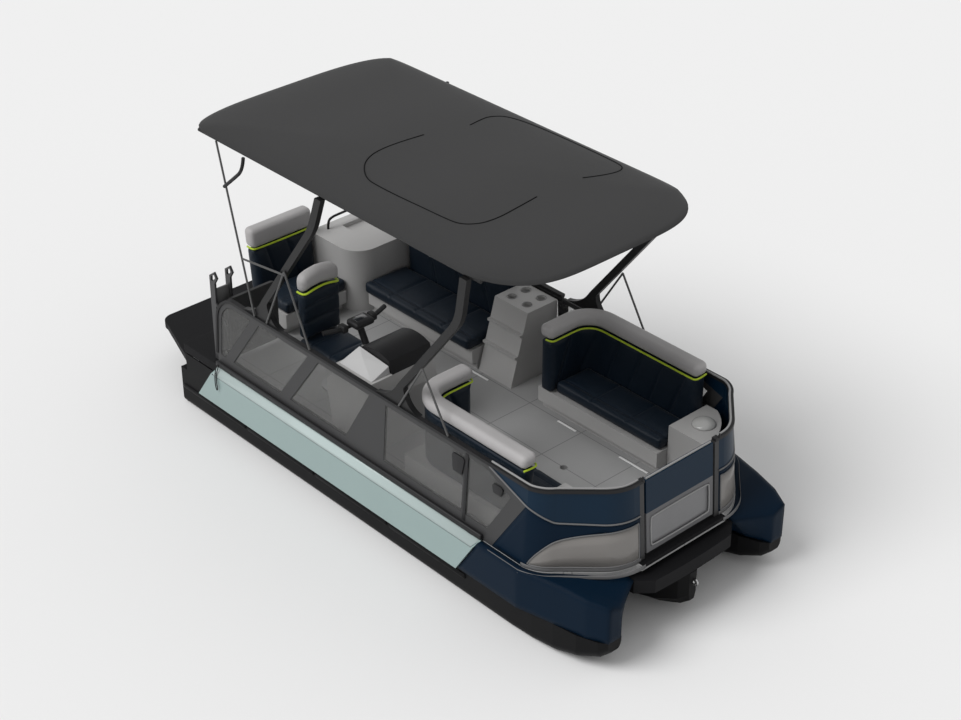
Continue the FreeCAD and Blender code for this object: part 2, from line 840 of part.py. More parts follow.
nozzle_aft = f"({outlet_end} + nozzle_overlap - nozzle_length)"
nozzle_shell = cut(cylinder("X", (nozzle_aft, "0", "shaft_z"), "nozzle_length", "nozzle_bore + nozzle_wall"),
                   [cylinder("X", (f"{nozzle_aft} - overrun", "0", "shaft_z"),
                             "nozzle_length + overrun * 2", "nozzle_bore"),
                    cylinder("Z", (steer_x, "0", f"shaft_z - {pin_reach} - overrun"),
                             f"{pin_reach} * 2 + overrun * 2", "steer_pin_radius + pin_play")])
bucket_x = f"({steer_x} - bucket_pivot_back)"
bucket_pins = cut(cylinder("Y", (bucket_x, "-bucket_half", "shaft_z"), "bucket_half * 2", "bucket_pin"),
                  [box((f"{bucket_x} - bucket_pin * 2", f"{bucket_x} + bucket_pin * 2"),
                       ("-nozzle_bore - nozzle_wall / 2", "nozzle_bore + nozzle_wall / 2"),
                       ("shaft_z - bucket_pin * 2", "shaft_z + bucket_pin * 2"))])
node(fuse([nozzle_shell, bucket_pins]), "steering_nozzle")

arm_inner = "(nozzle_bore + nozzle_wall + arm_gap)"
shell = cut(cylinder("Y", (bucket_x, "-bucket_half", "shaft_z"), "bucket_half * 2", "bucket_radius"),
            [cylinder("Y", (bucket_x, "-bucket_half - overrun", "shaft_z"), "bucket_half * 2 + overrun * 2",
                      "bucket_radius - bucket_wall")])
cheeks = cut(cylinder("Y", (bucket_x, f"-{arm_inner} - arm_wall", "shaft_z"), f"({arm_inner} + arm_wall) * 2",
                      "bucket_radius - bucket_wall / 2"),
             [box((f"{bucket_x} - bucket_radius", f"{bucket_x} + bucket_radius"),
                  (f"-{arm_inner}", arm_inner),
                  ("shaft_z - bucket_radius", "shaft_z + bucket_radius"))])
wedge = prism("XZ", "-bucket_half - overrun * 2", "bucket_half + overrun * 2",
              [(f"{bucket_x} + bucket_pin * 2", "shaft_z - bucket_pin * 2"),
               (f"{bucket_x} + bucket_radius * 0.3", "shaft_z + bucket_radius * 1.1"),
               (f"{bucket_x} - bucket_radius * 1.1", "shaft_z + bucket_radius * 1.1"),
               (f"{bucket_x} - bucket_radius * 1.1", "shaft_z + bucket_radius * 0.55"),
               (f"{bucket_x} - bucket_pin * 2", "shaft_z - bucket_pin * 2")])
pin_holes = cylinder("Y", (bucket_x, "-bucket_half - overrun", "shaft_z"), "bucket_half * 2 + overrun * 2",
                     "bucket_pin + pin_play")
node(cut(common([fuse([shell, cheeks]), wedge]), [pin_holes]), "reverse_bucket")

# Intake grate and ride plate close the jet's tunnel from below.
bar_front = f"({intake_front} - grate_depth * (intake_length + overrun) / intake_top - seat_gap)"
bars = []
for step in (-2, -1, 0, 1, 2):
    bars.append(box((recess_front, bar_front),
                    (f"grate_pitch * {step} - grate_bar / 2", f"grate_pitch * {step} + grate_bar / 2"),
                    ("0", "grate_depth")))
sill = box((recess_front, f"{recess_front} + grate_pitch"), ("-intake_half", "intake_half"),
           ("0", "grate_depth"))
plate = box((centre_aft, recess_front), ("-pump_recess_half + seat_gap", "pump_recess_half - seat_gap"),
            ("0", "plate_thickness"))
node(fuse(bars + [sill, plate]), "ride_plate")


# Fence walls: their plan follows the deck's edge, round the bow corners to the gate.
def lean(level):
    """How far the walls stand out at a height, against their top edge."""
    return f"(fence_lean * (fence_top - ({level})) / (fence_top - deck_top))"


def nose_line(out, end="gate_half"):
    """The starboard wall's line in plan from its turn to the gate, moved outwards by some distance."""
    marks = [("turn_x", "fence_side", 0, 1), ("turn_via_x", "turn_via_y", 0.4, 0.9, "via"),
             ("corner_x", "corner_y", 0.7, 0.7),
             ("front_corner_x", "front_corner_y", 0.75, 0.66), ("nose_via_x", "nose_via_y", 0.9, 0.4, "via"),
             ("nose_side_x", "nose_side_y", 1, 0), ("nose_side_x", end, 1, 0)]
    return [(f"{mark[0]} + ({out}) * {mark[2]}", f"-({mark[1]} + ({out}) * {mark[3]})") + mark[4:]
            for mark in marks]


def port_side(points):
    """The same line on the port side."""
    return [(point[0], f"-({point[1]})") + point[2:] for point in points]


# Deck: cross beams on the hulls, and the cockpit floor that follows the walls round the bow.
deck_low = "(deck_top - deck_thickness)"
deck_back = f"({stern} + deck_aft)"
beams = []
for place in ("beam_one", "beam_two", "beam_three", "beam_four", "beam_five"):
    beams.append(box((place, f"{place} + beam_width"), ("-beam_half", "beam_half"), (hull_top, deck_low)))
node(group(beams), "deck_beams")
deck_edge = nose_line(f"{lean('deck_top')} + deck_margin")
deck_edge = [(deck_back, "-deck_half"), ("turn_x", "-deck_half")] + deck_edge[1:-1]
sill_x = f"(nose_side_x + {lean('deck_top')} + sill_reach)"
deck_sill = [(sill_x, "-sill_half"), (sill_x, "sill_half")]
deck_blank = prism("XY", deck_low, "deck_top", deck_edge + deck_sill + port_side(deck_edge)[::-1])
table_socket = cylinder("Z", ("table_socket_x", "0", f"{deck_low} - overrun"), "deck_thickness + overrun * 2",
                        "table_socket_radius")
node(cut(deck_blank, [table_socket]), "deck")

# Swim platform: a thick moulding over the jet, on the stern seats of the hulls.
platform_front = f"({hull_aft} + platform_seat_length)"
platform_half = [(f"{stern}", "0 - platform_aft_half + platform_corner"),
                 (f"{stern} + platform_corner * 0.29", "0 - platform_aft_half + platform_corner * 0.29",
                  "via"),
                 (f"{stern} + platform_corner", "0 - platform_aft_half"),
                 (platform_front, "0 - platform_front_half")]
platform_slab = prism("XY", "platform_seat_height", "platform_top",
                      platform_half + port_side(platform_half)[::-1])

# Boarding ladder: folded under the platform on a hinge tube near its edge.
ladder_x = f"({stern} + ladder_inset)"
ladder_z = "(platform_seat_height - ladder_drop)"
rails = []
for side in ("-", "+"):
    rails.append(cylinder("X", (ladder_x, f"ladder_y {side} ladder_half", ladder_z), "ladder_length",
                          "ladder_tube"))
for share in (0.5, 1):
    rails.append(cylinder("Y", (f"{ladder_x} + ladder_length * {share}", "ladder_y - ladder_half", ladder_z),
                          "ladder_half * 2", "ladder_rung"))
rails.append(cylinder("Y", (ladder_x, "ladder_y - ladder_half - hinge_half * 3", ladder_z),
                      "ladder_half * 2 + hinge_half * 6", "ladder_hinge"))
node(fuse(rails), "boarding_ladder")
blocks, bores = [platform_slab], []
for side in ("- ladder_half - hinge_half * 3", "+ ladder_half + hinge_half * 2"):
    blocks.append(box((f"{ladder_x} - hinge_half", f"{ladder_x} + hinge_half"),
                      (f"ladder_y {side}", f"ladder_y {side} + hinge_half"),
                      (f"{ladder_z} - hinge_half", "platform_seat_height + overrun")))
    bores.append(cylinder("Y", (ladder_x, f"ladder_y {side} - overrun", ladder_z), "hinge_half + overrun * 2",
                          "ladder_hinge + pin_play"))
node(cut(fuse(blocks), bores), "swim_platform")

# Side covers: pale moulded skins over the hull sides, creased, with raked ends.
cover_section = [("-cover_inner", "cover_skin_low"), ("-beam / 2 + overrun", "cover_low"),
                 ("-beam / 2", "cover_low + overrun"), ("-beam / 2", "cover_crease"),
                 ("-cover_top_outer", "cover_top"), ("-cover_inner", "cover_top")]
cover_side = [(f"{stern} + cover_aft_low", "cover_low - overrun"),
              ("cover_front_low", "cover_low - overrun"), ("cover_front_top", "cover_top + overrun"),
              (f"{stern} + cover_aft_top", "cover_top + overrun")]
side_cover = common([prism("YZ", f"{stern} + cover_aft_low", "cover_front_top", cover_section),
                     prism("XZ", "-beam", "0", cover_side)])
node(side_cover, "starboard_side_cover")
node(mirrored(side_cover), "port_side_cover")

# Bow covers: dark shells that carry the side line on to the stems, their tops falling towards the step.
cover_rake = "((cover_front_top - cover_front_low) / (cover_top - cover_low + overrun * 2))"
deck_seat = f"({deck_low} - seat_gap)"
hull_inner = "hull_outer - hull_width"


def bow_cover_section(side, shoulder, inner, inner_top, inner_low):
    """A section of a bow cover, from its lower outer edge over the shoulder to the inner edge."""
    return [(f"-({side})", "stem_top + seat_gap"), (f"-({side})", shoulder),
            (f"-({side}) + shoulder_width", f"{shoulder} + overrun"), (f"-({inner})", inner_top),
            (f"-({inner_low})", "stem_top + seat_gap")]


bow_cover = loft("YZ", [
    ("cover_front_low", bow_cover_section("bow_cover_side", "shoulder_top", hull_inner, deck_seat,
                                          hull_inner)),
    ("bow_turn_x", bow_cover_section("bow_cover_side", "shoulder_top", hull_inner, deck_seat, hull_inner)),
    ("bow_mid_x", bow_cover_section("bow_mid_side", "shoulder_top", "bow_cover_inner", deck_seat,
                                    f"{hull_inner} + shoulder_drop")),
    (sill_x, bow_cover_section("bow_mid_side - shoulder_drop", "shoulder_top - shoulder_drop / 2",
                               "bow_cover_inner", "step_top + overrun",
                               f"{hull_inner} + shoulder_drop * 2")),
    (bow, bow_cover_section("bow_tip_side", "shoulder_top - shoulder_drop", "bow_tip_inner",
                            "step_top + overrun", "bow_tip_inner"))])
cover_high = "shoulder_top + overrun * 2"
rake_low = f"(stem_top - cover_low + overrun) * {cover_rake}"
rake_high = f"({cover_high} - cover_low + overrun) * {cover_rake}"
bow_cover_side_view = [(f"cover_front_low + seat_gap * 3 + {rake_low}", "stem_top"),
                       (f"{bow} + overrun", "stem_top"), (f"{bow} + overrun", cover_high),
                       (f"cover_front_low + seat_gap * 3 + {rake_high}", cover_high)]
deck_room = nose_line(f"{lean('deck_top')} + deck_margin + seat_gap")
deck_room = [("cover_front_low - overrun", "-deck_half - seat_gap"),
             ("turn_x", "-deck_half - seat_gap")] + deck_room[1:-1]
deck_room += [(f"{sill_x} + seat_gap", "-sill_half - seat_gap"), (f"{sill_x} + seat_gap", "0"),
              ("cover_front_low - overrun", "0")]
bow_cover = cut(common([bow_cover, prism("XZ", "-beam", "0", bow_cover_side_view)]),
                [prism("XY", deck_seat, f"{cover_high} + overrun", deck_room)])
node(bow_cover, "starboard_bow_cover")
node(mirrored(bow_cover), "port_bow_cover")

# Bow step: a wide tread with round corners between the bow covers, lower than the deck.
step_side = "(bow_cover_inner - seat_gap * 2)"
step_outline = [("step_back_x", f"-{step_side}"), (sill_x, f"-{step_side}"),
                ("step_tip", "-step_front_half"),
                ("step_tip + step_round / 4", "0", "via"), ("step_tip", "step_front_half"),
                (sill_x, step_side), ("step_back_x", step_side)]
node(prism("XY", "step_low", "step_top", step_outline), "bow_step")

# Bow eye: a drilled plate on the centre stem for the winch strap.
eye_x = f"({centre_front} + eye_reach)"
node(cut(cylinder("Y", (eye_x, "-eye_thickness / 2", "eye_z"), "eye_thickness", "eye_radius"),
         [cylinder("Y", (eye_x, "-eye_thickness / 2 - overrun", "eye_z"), "eye_thickness + overrun * 2",
                   "eye_bore"),
          box((f"{centre_front} - eye_radius * 2", f"{centre_front}"), ("-eye_thickness", "eye_thickness"),
              ("eye_z - eye_radius * 2", "eye_z + eye_radius * 2"))]), "bow_eye")

# Side fences: leaning frames that end aft in a round hoop, their raked windows filled by smoked sheets.
fence_low_side = "(fence_side + fence_lean)"
hoop_x = f"({stern} + fence_aft_low)"
hoop_top_x = f"({stern} + fence_aft_top)"
hoop_knee = f"(fence_top - {hoop_top_x} + {hoop_x})"


def fence_section(inset):
    """The leaning section of a fence, thinned on both faces by an inset."""
    return [(f"-{fence_low_side} + {inset}", "deck_top"), (f"-fence_side + {inset}", "fence_top"),
            (f"-fence_side + fence_thickness - ({inset})", "fence_top"),
            (f"-{fence_low_side} + fence_thickness - ({inset})", "deck_top")]


def hoop(out, high):
    """The curve at the aft end of a fence in side view, from its top edge round to its upright."""
    back = f"({hoop_x} + {out})"
    return [(hoop_top_x, high), (f"{back} + ({hoop_top_x} - {back}) * 0.29",
                                 f"{high} - ({high} - {hoop_knee}) * 0.29", "via"),
            (back, hoop_knee)]


starboard_bars = ("window_two_end", "window_two_lean", "window_three")
port_bars = ("side_gate_aft - bar_width / 2", "0", "side_gate_front + bar_width / 2")


def window_outlines(inset, bars):
    """The five windows of a fence in side view, each made smaller by an inset."""
    two_end, two_lean, three_start = bars
    low, high = f"window_low + {inset}", f"window_top - {inset}"
    bar = f"window_one - bar_width - {inset}"
    aft = [(f"{hoop_x} + hoop_width + {inset}", low), (bar, low), (f"{bar} + window_lean", high)]
    aft += hoop(f"hoop_width + {inset}", f"({high})")
    rails = [(f"window_one + {inset}", f"window_two - bar_width * 1.2 - {inset}", "window_lean",
              "window_lean"),
             (f"window_two + {inset}", f"{two_end} - {inset}", "window_lean", two_lean),
             (f"{three_start} + {inset}", f"joint_x - joint_half - {inset}", "0", "0")]
    raked = [[(start, low), (end, low), (f"{end} + {end_lean}", high), (f"{start} + {start_lean}", high)]
             for start, end, start_lean, end_lean in rails]
    front = [(f"joint_x + joint_half + {inset}", low), (f"window_end - {inset} * 2", low),
             (f"window_tip_x - {inset} * 3", f"window_tip_z - {inset}"), (f"fence_front_top - {inset}", high),
             (f"joint_x + joint_half + {inset}", high)]
    return [aft] + raked + [front]


def fence(start, end, side_view, bars, chosen):
    """A fence frame on the starboard side between two places, and the sheets in its chosen windows."""
    frame = common([prism("YZ", start, end, fence_section("0")), prism("XZ", "-beam", "0", side_view)])
    pane = prism("YZ", start, end, fence_section("fence_screen"))
    holes = window_outlines("0", bars)
    fillings = window_outlines("seat_gap", bars)
    sheets = [common([pane, prism("XZ", "-beam", "beam", fillings[number])]) for number in chosen]
    return cut(frame, [prism("XZ", "-beam", "beam", holes[number]) for number in chosen]), sheets


fence_front = [("fence_front_low", "deck_top"), ("tip_x", "tip_z"), ("fence_front_top", "fence_top")]
fence_aft = hoop("0", "fence_top")
starboard_frame, starboard_sheets = fence(hoop_x, "tip_x", [(hoop_x, "deck_top")] + fence_front + fence_aft,
                                          starboard_bars, range(5))
gate_side = [("side_gate_aft", "deck_top"), ("side_gate_aft", "fence_top")]
port_aft_frame, port_sheets = fence(hoop_x, "side_gate_aft", [(hoop_x, "deck_top")] + gate_side + fence_aft,
                                    port_bars, (0, 1, 2))
gate_side = [("side_gate_front", "fence_top"), ("side_gate_front", "deck_top")]
port_front_frame, front_sheets = fence("side_gate_front", "tip_x", gate_side + fence_front, port_bars, (3, 4))
port_sheets += front_sheets

# Bow walls: a dark band above and a lower panel with a pointed window, from the side fence to the gate posts.
wall_start = "(fence_front_top - overrun)"


def wall(outer_inset, inner_inset):
    """The leaning starboard wall round the bow as far as the gate post."""
    levels = []
    for level in ("deck_top", "fence_top"):
        outer = nose_line(f"{lean(level)} - ({outer_inset})", "gate_half + post_width + seat_gap")
        inner = nose_line(f"{lean(level)} - ({inner_inset})", "gate_half + post_width + seat_gap")
        outer = [(wall_start, outer[0][1])] + outer
        inner = [(wall_start, inner[0][1])] + inner
        levels.append((level, outer + inner[::-1]))
    return loft("XY", levels)


wall_blank = wall("0", "fence_thickness")
band_view = [("fence_front_top", "fence_top"), ("tip_x", "tip_z + seat_gap"),
             ("band_corner_x", "band_corner_z"),
             (bow, "band_low"), (bow, "fence_top + overrun"), ("fence_front_top", "fence_top + overrun")]
panel_view = [("fence_front_low + seat_gap", "deck_top - overrun"), (bow, "deck_top - overrun"),
              (bow, "band_low - seat_gap"), ("band_corner_x", "band_corner_z - seat_gap"),
              ("tip_x + seat_gap", "tip_z")]
bow_band = common([wall_blank, prism("XZ", "-beam", "0", band_view)])
panel_blank = common([wall_blank, prism("XZ", "-beam", "0", panel_view)])


def bow_window(inset):
    """The pointed window of the lower panel in side view."""
    front = f"front_corner_x + post_width / 2 - ({inset})"
    return prism("XZ", "-beam", "0", [(f"bow_window_x + {inset} * 3", f"bow_window_low + {inset}"),
                                      (front, f"bow_window_low + {inset}"),
                                      (front, f"bow_window_top - {inset}"),
                                      (f"bow_window_knee_x + {inset}", f"bow_window_knee_z - {inset}")])


bow_panel = cut(panel_blank, [bow_window("0")])
bow_sheet = common([wall("fence_screen", "fence_thickness - fence_screen"), bow_window("seat_gap")])
for side, place in (("starboard", lambda item: item), ("port", mirrored)):
    node(place(bow_panel), f"{side}_bow_panel")
    node(place(bow_band), f"{side}_bow_band")
node(group(starboard_sheets + [bow_sheet]), "starboard_screens")
node(group([mirrored(item) for item in port_sheets + [bow_sheet]]), "port_screens")

# Top rails: a flat cap along the fences, down the aft hoops and round the bow to the gate.
rail_top = "(fence_top + rail_height)"
rail_over = "((rail_width - fence_thickness) / 2)"


def side_rail(start, end):
    """The starboard rail in side view: along the top and, from the hoop, down the aft edge."""
    low_outer, outer, inner, low_inner = [point[0] for point in fence_section(f"0 - {rail_over}")]
    if start != hoop_x:
        return box((start, end), (outer, inner), ("fence_top", rail_top))
    section = [(low_outer, "deck_top"), (outer, "fence_top"), (outer, rail_top),
               (inner, rail_top), (inner, "fence_top"), (low_inner, "deck_top")]
    outline = [(end, "fence_top"), (end, rail_top)] + hoop("0 - rail_height", rail_top)
    outline += [(f"{hoop_x} - rail_height", "window_low"), (hoop_x, "window_low")] + hoop("0",
                                                                                          "fence_top")[::-1]
    return common([prism("YZ", f"{hoop_x} - rail_height", end, section), prism("XZ", "-beam", "0", outline)])


def bow_rail():
    """The starboard rail round the bow as far as the gate gap."""
    outer = nose_line(rail_over)
    inner = nose_line(f"0 - fence_thickness - {rail_over}")
    return prism("XY", "fence_top", rail_top, outer + inner[::-1])


node(fuse([side_rail(hoop_x, "turn_x"), bow_rail()]), "starboard_rail")
node(group([mirrored(side_rail(hoop_x, "side_gate_aft")),
            mirrored(fuse([side_rail("side_gate_front", "turn_x"), bow_rail()]))]), "port_rail")

# Hinges: a knuckle on the leaf turns on a pin between two fixed plates.


def knuckle(x, y, low, leaf):
    """A drilled knuckle with the strap that joins it to its leaf, drawn in plan, and the hole for its pin."""
    ring = cylinder("Z", (x, y, low), "knuckle_height", "hinge_radius")
    strap = prism("XY", low, f"{low} + knuckle_height", leaf)
    pin_hole = cylinder("Z", (x, y, f"{low} - overrun"), "knuckle_height + overrun * 2",
                        "hinge_pin + pin_play")
    return fuse([ring, strap]), pin_hole


def bracket(x, y, low, corners):
    """Two plates over and under a knuckle, with the pin between them."""
    plates = [prism("XY", f"{low} - plate_gap - bracket_plate", f"{low} - plate_gap", corners),
              prism("XY", f"{low} + knuckle_height + plate_gap",
                    f"{low} + knuckle_height + plate_gap + bracket_plate",
                    corners)]
    pin = cylinder("Z", (x, y, f"{low} - plate_gap - bracket_plate"),
                   "knuckle_height + plate_gap * 2 + bracket_plate * 2", "hinge_pin")
    return plates + [pin]


# Bow gate: a leaning leaf between two posts, its upper band dark, hung on the port post and opening inwards.


def nose_slab(start, end, low, high):
    """A leaning slab across the nose between two heights."""
    return prism("XZ", start, end,
                 [(f"nose_side_x + {lean(low)} - gate_thickness", low), (f"nose_side_x + {lean(low)}", low),
                  (f"nose_side_x + {lean(high)}", high),
                  (f"nose_side_x + {lean(high)} - gate_thickness", high)])


gate_post = nose_slab("0 - gate_half - post_width", "0 - gate_half", "deck_top", "fence_top")
gate_edge = "(gate_half - gate_play)"
gate_leaf = nose_slab(f"0 - {gate_edge}", gate_edge, "gate_low", "band_low - seat_gap")
gate_band = nose_slab(f"0 - {gate_edge}", gate_edge, "band_low", "fence_top")
gate_recess = box((f"nose_side_x - gate_thickness", "nose_side_x + fence_lean + gate_thickness"),
                  (f"0 - {gate_edge} + frame_width", f"{gate_edge} - frame_width"),
                  ("gate_low + frame_width", "band_low - frame_width"))
gate_hinge_x = "(nose_side_x - gate_thickness - hinge_radius - plate_gap * 2)"
gate_hinge_y = "(gate_half + hinge_radius)"
hung, holes, gate_brackets = [], [], []
for leaf, low in ((cut(gate_leaf, [gate_recess]), "hinge_low"), (gate_band, "hinge_high")):
    reach = f"nose_side_x + {lean(low)} - gate_thickness + overrun"
    back = f"{gate_hinge_x} - hinge_radius * 0.8"
    front = f"{gate_hinge_x} + hinge_radius * 0.8"
    strap = [(back, gate_hinge_y), (back, f"{gate_edge} - frame_width"),
             (reach, f"{gate_edge} - frame_width"),
             (reach, gate_edge), (front, gate_edge), (front, gate_hinge_y)]
    ring, hole = knuckle(gate_hinge_x, gate_hinge_y, low, strap)
    hung.append(cut(fuse([leaf, ring]), [hole]))
    corners = [(f"{gate_hinge_x} - hinge_radius", "gate_half + plate_gap"), (reach, "gate_half + plate_gap"),
               (reach, "gate_half + hinge_radius * 2"),
               (f"{gate_hinge_x} - hinge_radius", "gate_half + hinge_radius * 2")]
    gate_brackets += bracket(gate_hinge_x, gate_hinge_y, low, corners)
node(hung[0], "bow_gate_frame")
node(hung[1], "bow_gate_band")
gate_pane_low, gate_pane_high = "gate_low + frame_width + seat_gap", "band_low - frame_width - seat_gap"
node(prism("XZ", f"0 - {gate_edge} + frame_width + seat_gap", f"{gate_edge} - frame_width - seat_gap",
           [(f"nose_side_x + {lean(level)} - gate_thickness * {share}", level)
            for level, share in ((gate_pane_low, 0.7), (gate_pane_low, 0.3), (gate_pane_high, 0.3),
                                 (gate_pane_high, 0.7))]),
     "bow_gate_panel")

# Side gate: a smoked leaf in a light frame on the port side, opening inwards.
leaf_outer = f"({fence_low_side} - fence_thickness * 2)"
leaf = box(("side_gate_aft + gate_gap", "side_gate_front - gate_gap"),
           (f"{leaf_outer} - fence_thickness", leaf_outer),
           ("gate_low", "fence_top - overrun"))
leaf_window = box(("side_gate_aft + gate_gap + frame_width", "side_gate_front - gate_gap - frame_width"),
                  (f"{leaf_outer} - fence_thickness * 2", f"{leaf_outer} + fence_thickness"),
                  ("gate_low + frame_width", "fence_top - overrun - frame_width"))
leaf_hinge_x = "(side_gate_aft + gate_gap + hinge_radius / 3)"
leaf_hinge_y = f"({leaf_outer} - fence_thickness - hinge_radius - hinge_offset)"
leaves, holes = [cut(leaf, [leaf_window])], []
for low in ("hinge_low", "hinge_high"):
    strap = [(leaf_hinge_x, f"{leaf_hinge_y} - hinge_radius * 0.8"),
             ("side_gate_aft + gate_gap + frame_width", f"{leaf_hinge_y} - hinge_radius * 0.8"),
             ("side_gate_aft + gate_gap + frame_width", f"{leaf_outer} - fence_thickness / 2"),
             ("side_gate_aft + gate_gap", f"{leaf_outer} - fence_thickness / 2"),
             ("side_gate_aft + gate_gap", f"{leaf_hinge_y} + hinge_radius * 0.8"),
             (leaf_hinge_x, f"{leaf_hinge_y} + hinge_radius * 0.8")]
    ring, hole = knuckle(leaf_hinge_x, leaf_hinge_y, low, strap)
    leaves.append(ring)
    holes.append(hole)
node(cut(fuse(leaves), holes), "side_gate_frame")
node(box(("side_gate_aft + gate_gap + frame_width + seat_gap",
          "side_gate_front - gate_gap - frame_width - seat_gap"),
         (f"{leaf_outer} - fence_thickness * 0.7", f"{leaf_outer} - fence_thickness * 0.4"),
         ("gate_low + frame_width + seat_gap", "fence_top - overrun - frame_width - seat_gap")),
     "side_gate_screen")

brackets = []
for low in ("hinge_low", "hinge_high"):
    reach = f"fence_side + {lean(low)} - fence_thickness / 2"
    corners = [("side_gate_aft - hinge_radius * 2", f"{leaf_hinge_y} - hinge_radius"),
               (f"{leaf_hinge_x} + hinge_radius * 0.7", f"{leaf_hinge_y} - hinge_radius"),
               (f"{leaf_hinge_x} + hinge_radius * 0.7", f"{leaf_hinge_y} + hinge_radius / 2"),
               ("side_gate_aft", f"{leaf_hinge_y} + hinge_radius / 2"), ("side_gate_aft", reach),
               ("side_gate_aft - hinge_radius * 2", reach)]
    brackets += bracket(leaf_hinge_x, leaf_hinge_y, low, corners)
node(group([fuse([mirrored(port_aft_frame)] + brackets), mirrored(port_front_frame),
            fuse([mirrored(gate_post)] + gate_brackets)]), "port_fence")

# Stern gate: a leaf across the starboard boarding aisle, its upper corners round, between bench and fence.
stern_leaf_outer = "(stern_gate_outer - gate_gap)"
stern_leaf_inner = "(stern_gate_inner + gate_gap)"
round_top = "(stern_gate_top - stern_gate_round)"
stern_outline = [(f"-{stern_leaf_outer}", "gate_low"), (f"-{stern_leaf_inner}", "gate_low"),
                 (f"-{stern_leaf_inner}", round_top),
                 (f"-{stern_leaf_inner} - stern_gate_round * 0.29",
                  "stern_gate_top - stern_gate_round * 0.29", "via"),
                 (f"-{stern_leaf_inner} - stern_gate_round", "stern_gate_top"),
                 (f"-{stern_leaf_outer} + stern_gate_round", "stern_gate_top"),
                 (f"-{stern_leaf_outer} + stern_gate_round * 0.29",
                  "stern_gate_top - stern_gate_round * 0.29", "via"),
                 (f"-{stern_leaf_outer}", round_top)]
stern_hinge_x = "(stern_gate_x + stern_leaf / 2)"
stern_hinge_y = "(0 - stern_gate_outer - gate_gap / 2)"
leaves, holes, brackets = [prism("YZ", "stern_gate_x", "stern_gate_x + stern_leaf", stern_outline)], [], []
for low in ("hinge_low", "stern_hinge_high"):
    strap = [(f"{stern_hinge_x} - hinge_radius * 0.8", stern_hinge_y),
             (f"{stern_hinge_x} + hinge_radius * 0.8", stern_hinge_y),
             (f"{stern_hinge_x} + hinge_radius * 0.8", f"-{stern_leaf_outer} + overrun"),
             (f"{stern_hinge_x} - hinge_radius * 0.8", f"-{stern_leaf_outer} + overrun")]
    ring, hole = knuckle(stern_hinge_x, stern_hinge_y, low, strap)
    leaves.append(ring)
    holes.append(hole)
    reach = f"-(fence_side + {lean(low)} - fence_thickness * 0.7)"
    corners = [(f"{stern_hinge_x} - hinge_radius", f"{stern_hinge_y} + hinge_radius"),
               (f"{stern_hinge_x} - hinge_radius", reach), (f"{stern_hinge_x} + hinge_radius", reach),
               (f"{stern_hinge_x} + hinge_radius", f"{stern_hinge_y} + hinge_radius")]
    brackets += bracket(stern_hinge_x, stern_hinge_y, low, corners)
node(cut(fuse(leaves), holes), "stern_gate")
node(group([fuse([starboard_frame] + brackets), gate_post]), "starboard_fence")

# Stern posts: a blade each side of the boarding aisle with a pointed loop handle on top.
posts = []
for outer in ("post_outer", "(loop_inner + post_thickness)"):
    blade = box(("post_x - post_depth / 2", "post_x + post_depth / 2"),
                (f"-{outer}", f"-{outer} + post_thickness"),
                ("deck_top", "loop_top - loop_drop"))
    blade_top = "loop_top - loop_drop"
    grip = prism("XZ", f"-{outer}", f"-{outer} + post_thickness",
                 [("post_x - post_depth / 2", f"{blade_top} - overrun"),
                  ("post_x + post_depth / 2", f"{blade_top} - overrun"),
                  ("post_x + loop_reach", "loop_top - loop_drop / 2"),
                  ("post_x + loop_reach / 2", "loop_top"),
                  ("post_x - post_depth / 2", "loop_top - loop_drop / 2")])
    hand_hole = prism("XZ", f"-{outer} - overrun", f"-{outer} + post_thickness + overrun",
                      [("post_x - loop_tube", f"{blade_top} + loop_tube"),
                       ("post_x + loop_tube", f"{blade_top} + loop_tube"),
                       ("post_x + loop_reach - loop_tube * 2", "loop_top - loop_drop / 2"),
                       ("post_x + loop_reach / 2", "loop_top - loop_tube * 2"),
                       ("post_x - post_depth / 2 + loop_tube * 2", "loop_top - loop_drop / 2")])
    posts.append(fuse([blade, cut(grip, [hand_hole])]))
node(group(posts), "grab_loop")

# Lounges: moulded bases with toe spaces, loose cushions and padded backrests with round tops.
base_high = "(seat_base_top)"
cushion_low = "(seat_base_top + seat_gap)"


def seat_base(front, back):
    """The section of a seat base, with a toe space under its front edge."""
    toe = f"({front} + toe_space * (({back}) - ({front})) / abs(({back}) - ({front})))"
    return [(toe, "deck_top"), (toe, "deck_top + toe_space"), (front, "deck_top + toe_space * 1.4"),
            (front, base_high),
            (back, base_high), (back, "deck_top")]


def back_rest(front, back, top, tilt):
    """The section of a backrest: it leans back by a tilt and its top is round."""
    way = f"((({back}) - ({front})) / abs(({back}) - ({front})))"
    crown = f"({top} - back_round)"
    top_back = f"({back} + {tilt} * {way})"
    top_front = f"({front} + ({tilt} + back_round / 2) * {way})"
    return [(front, cushion_low), (top_front, crown), (f"({top_front} + {top_back}) / 2", top, "via"),
            (top_back, crown), (back, cushion_low)]


bench_back_front = "(bench_back_x + back_thickness)"
node(prism("XZ", "0 - bench_starboard", "bench_port", seat_base("bench_front_x", "bench_back_x")),
     "stern_bench_base")
node(box((f"{bench_back_front} + cushion_gap", "bench_front_x + cushion_lip"),
         ("-bench_starboard", "bench_port"),
         (cushion_low, "cushion_top")), "stern_bench_cushion")
node(prism("XZ", "0 - bench_starboard", "bench_port",
           back_rest(bench_back_front, "bench_back_x", "bench_back_top", "back_lean")), "stern_bench_back")

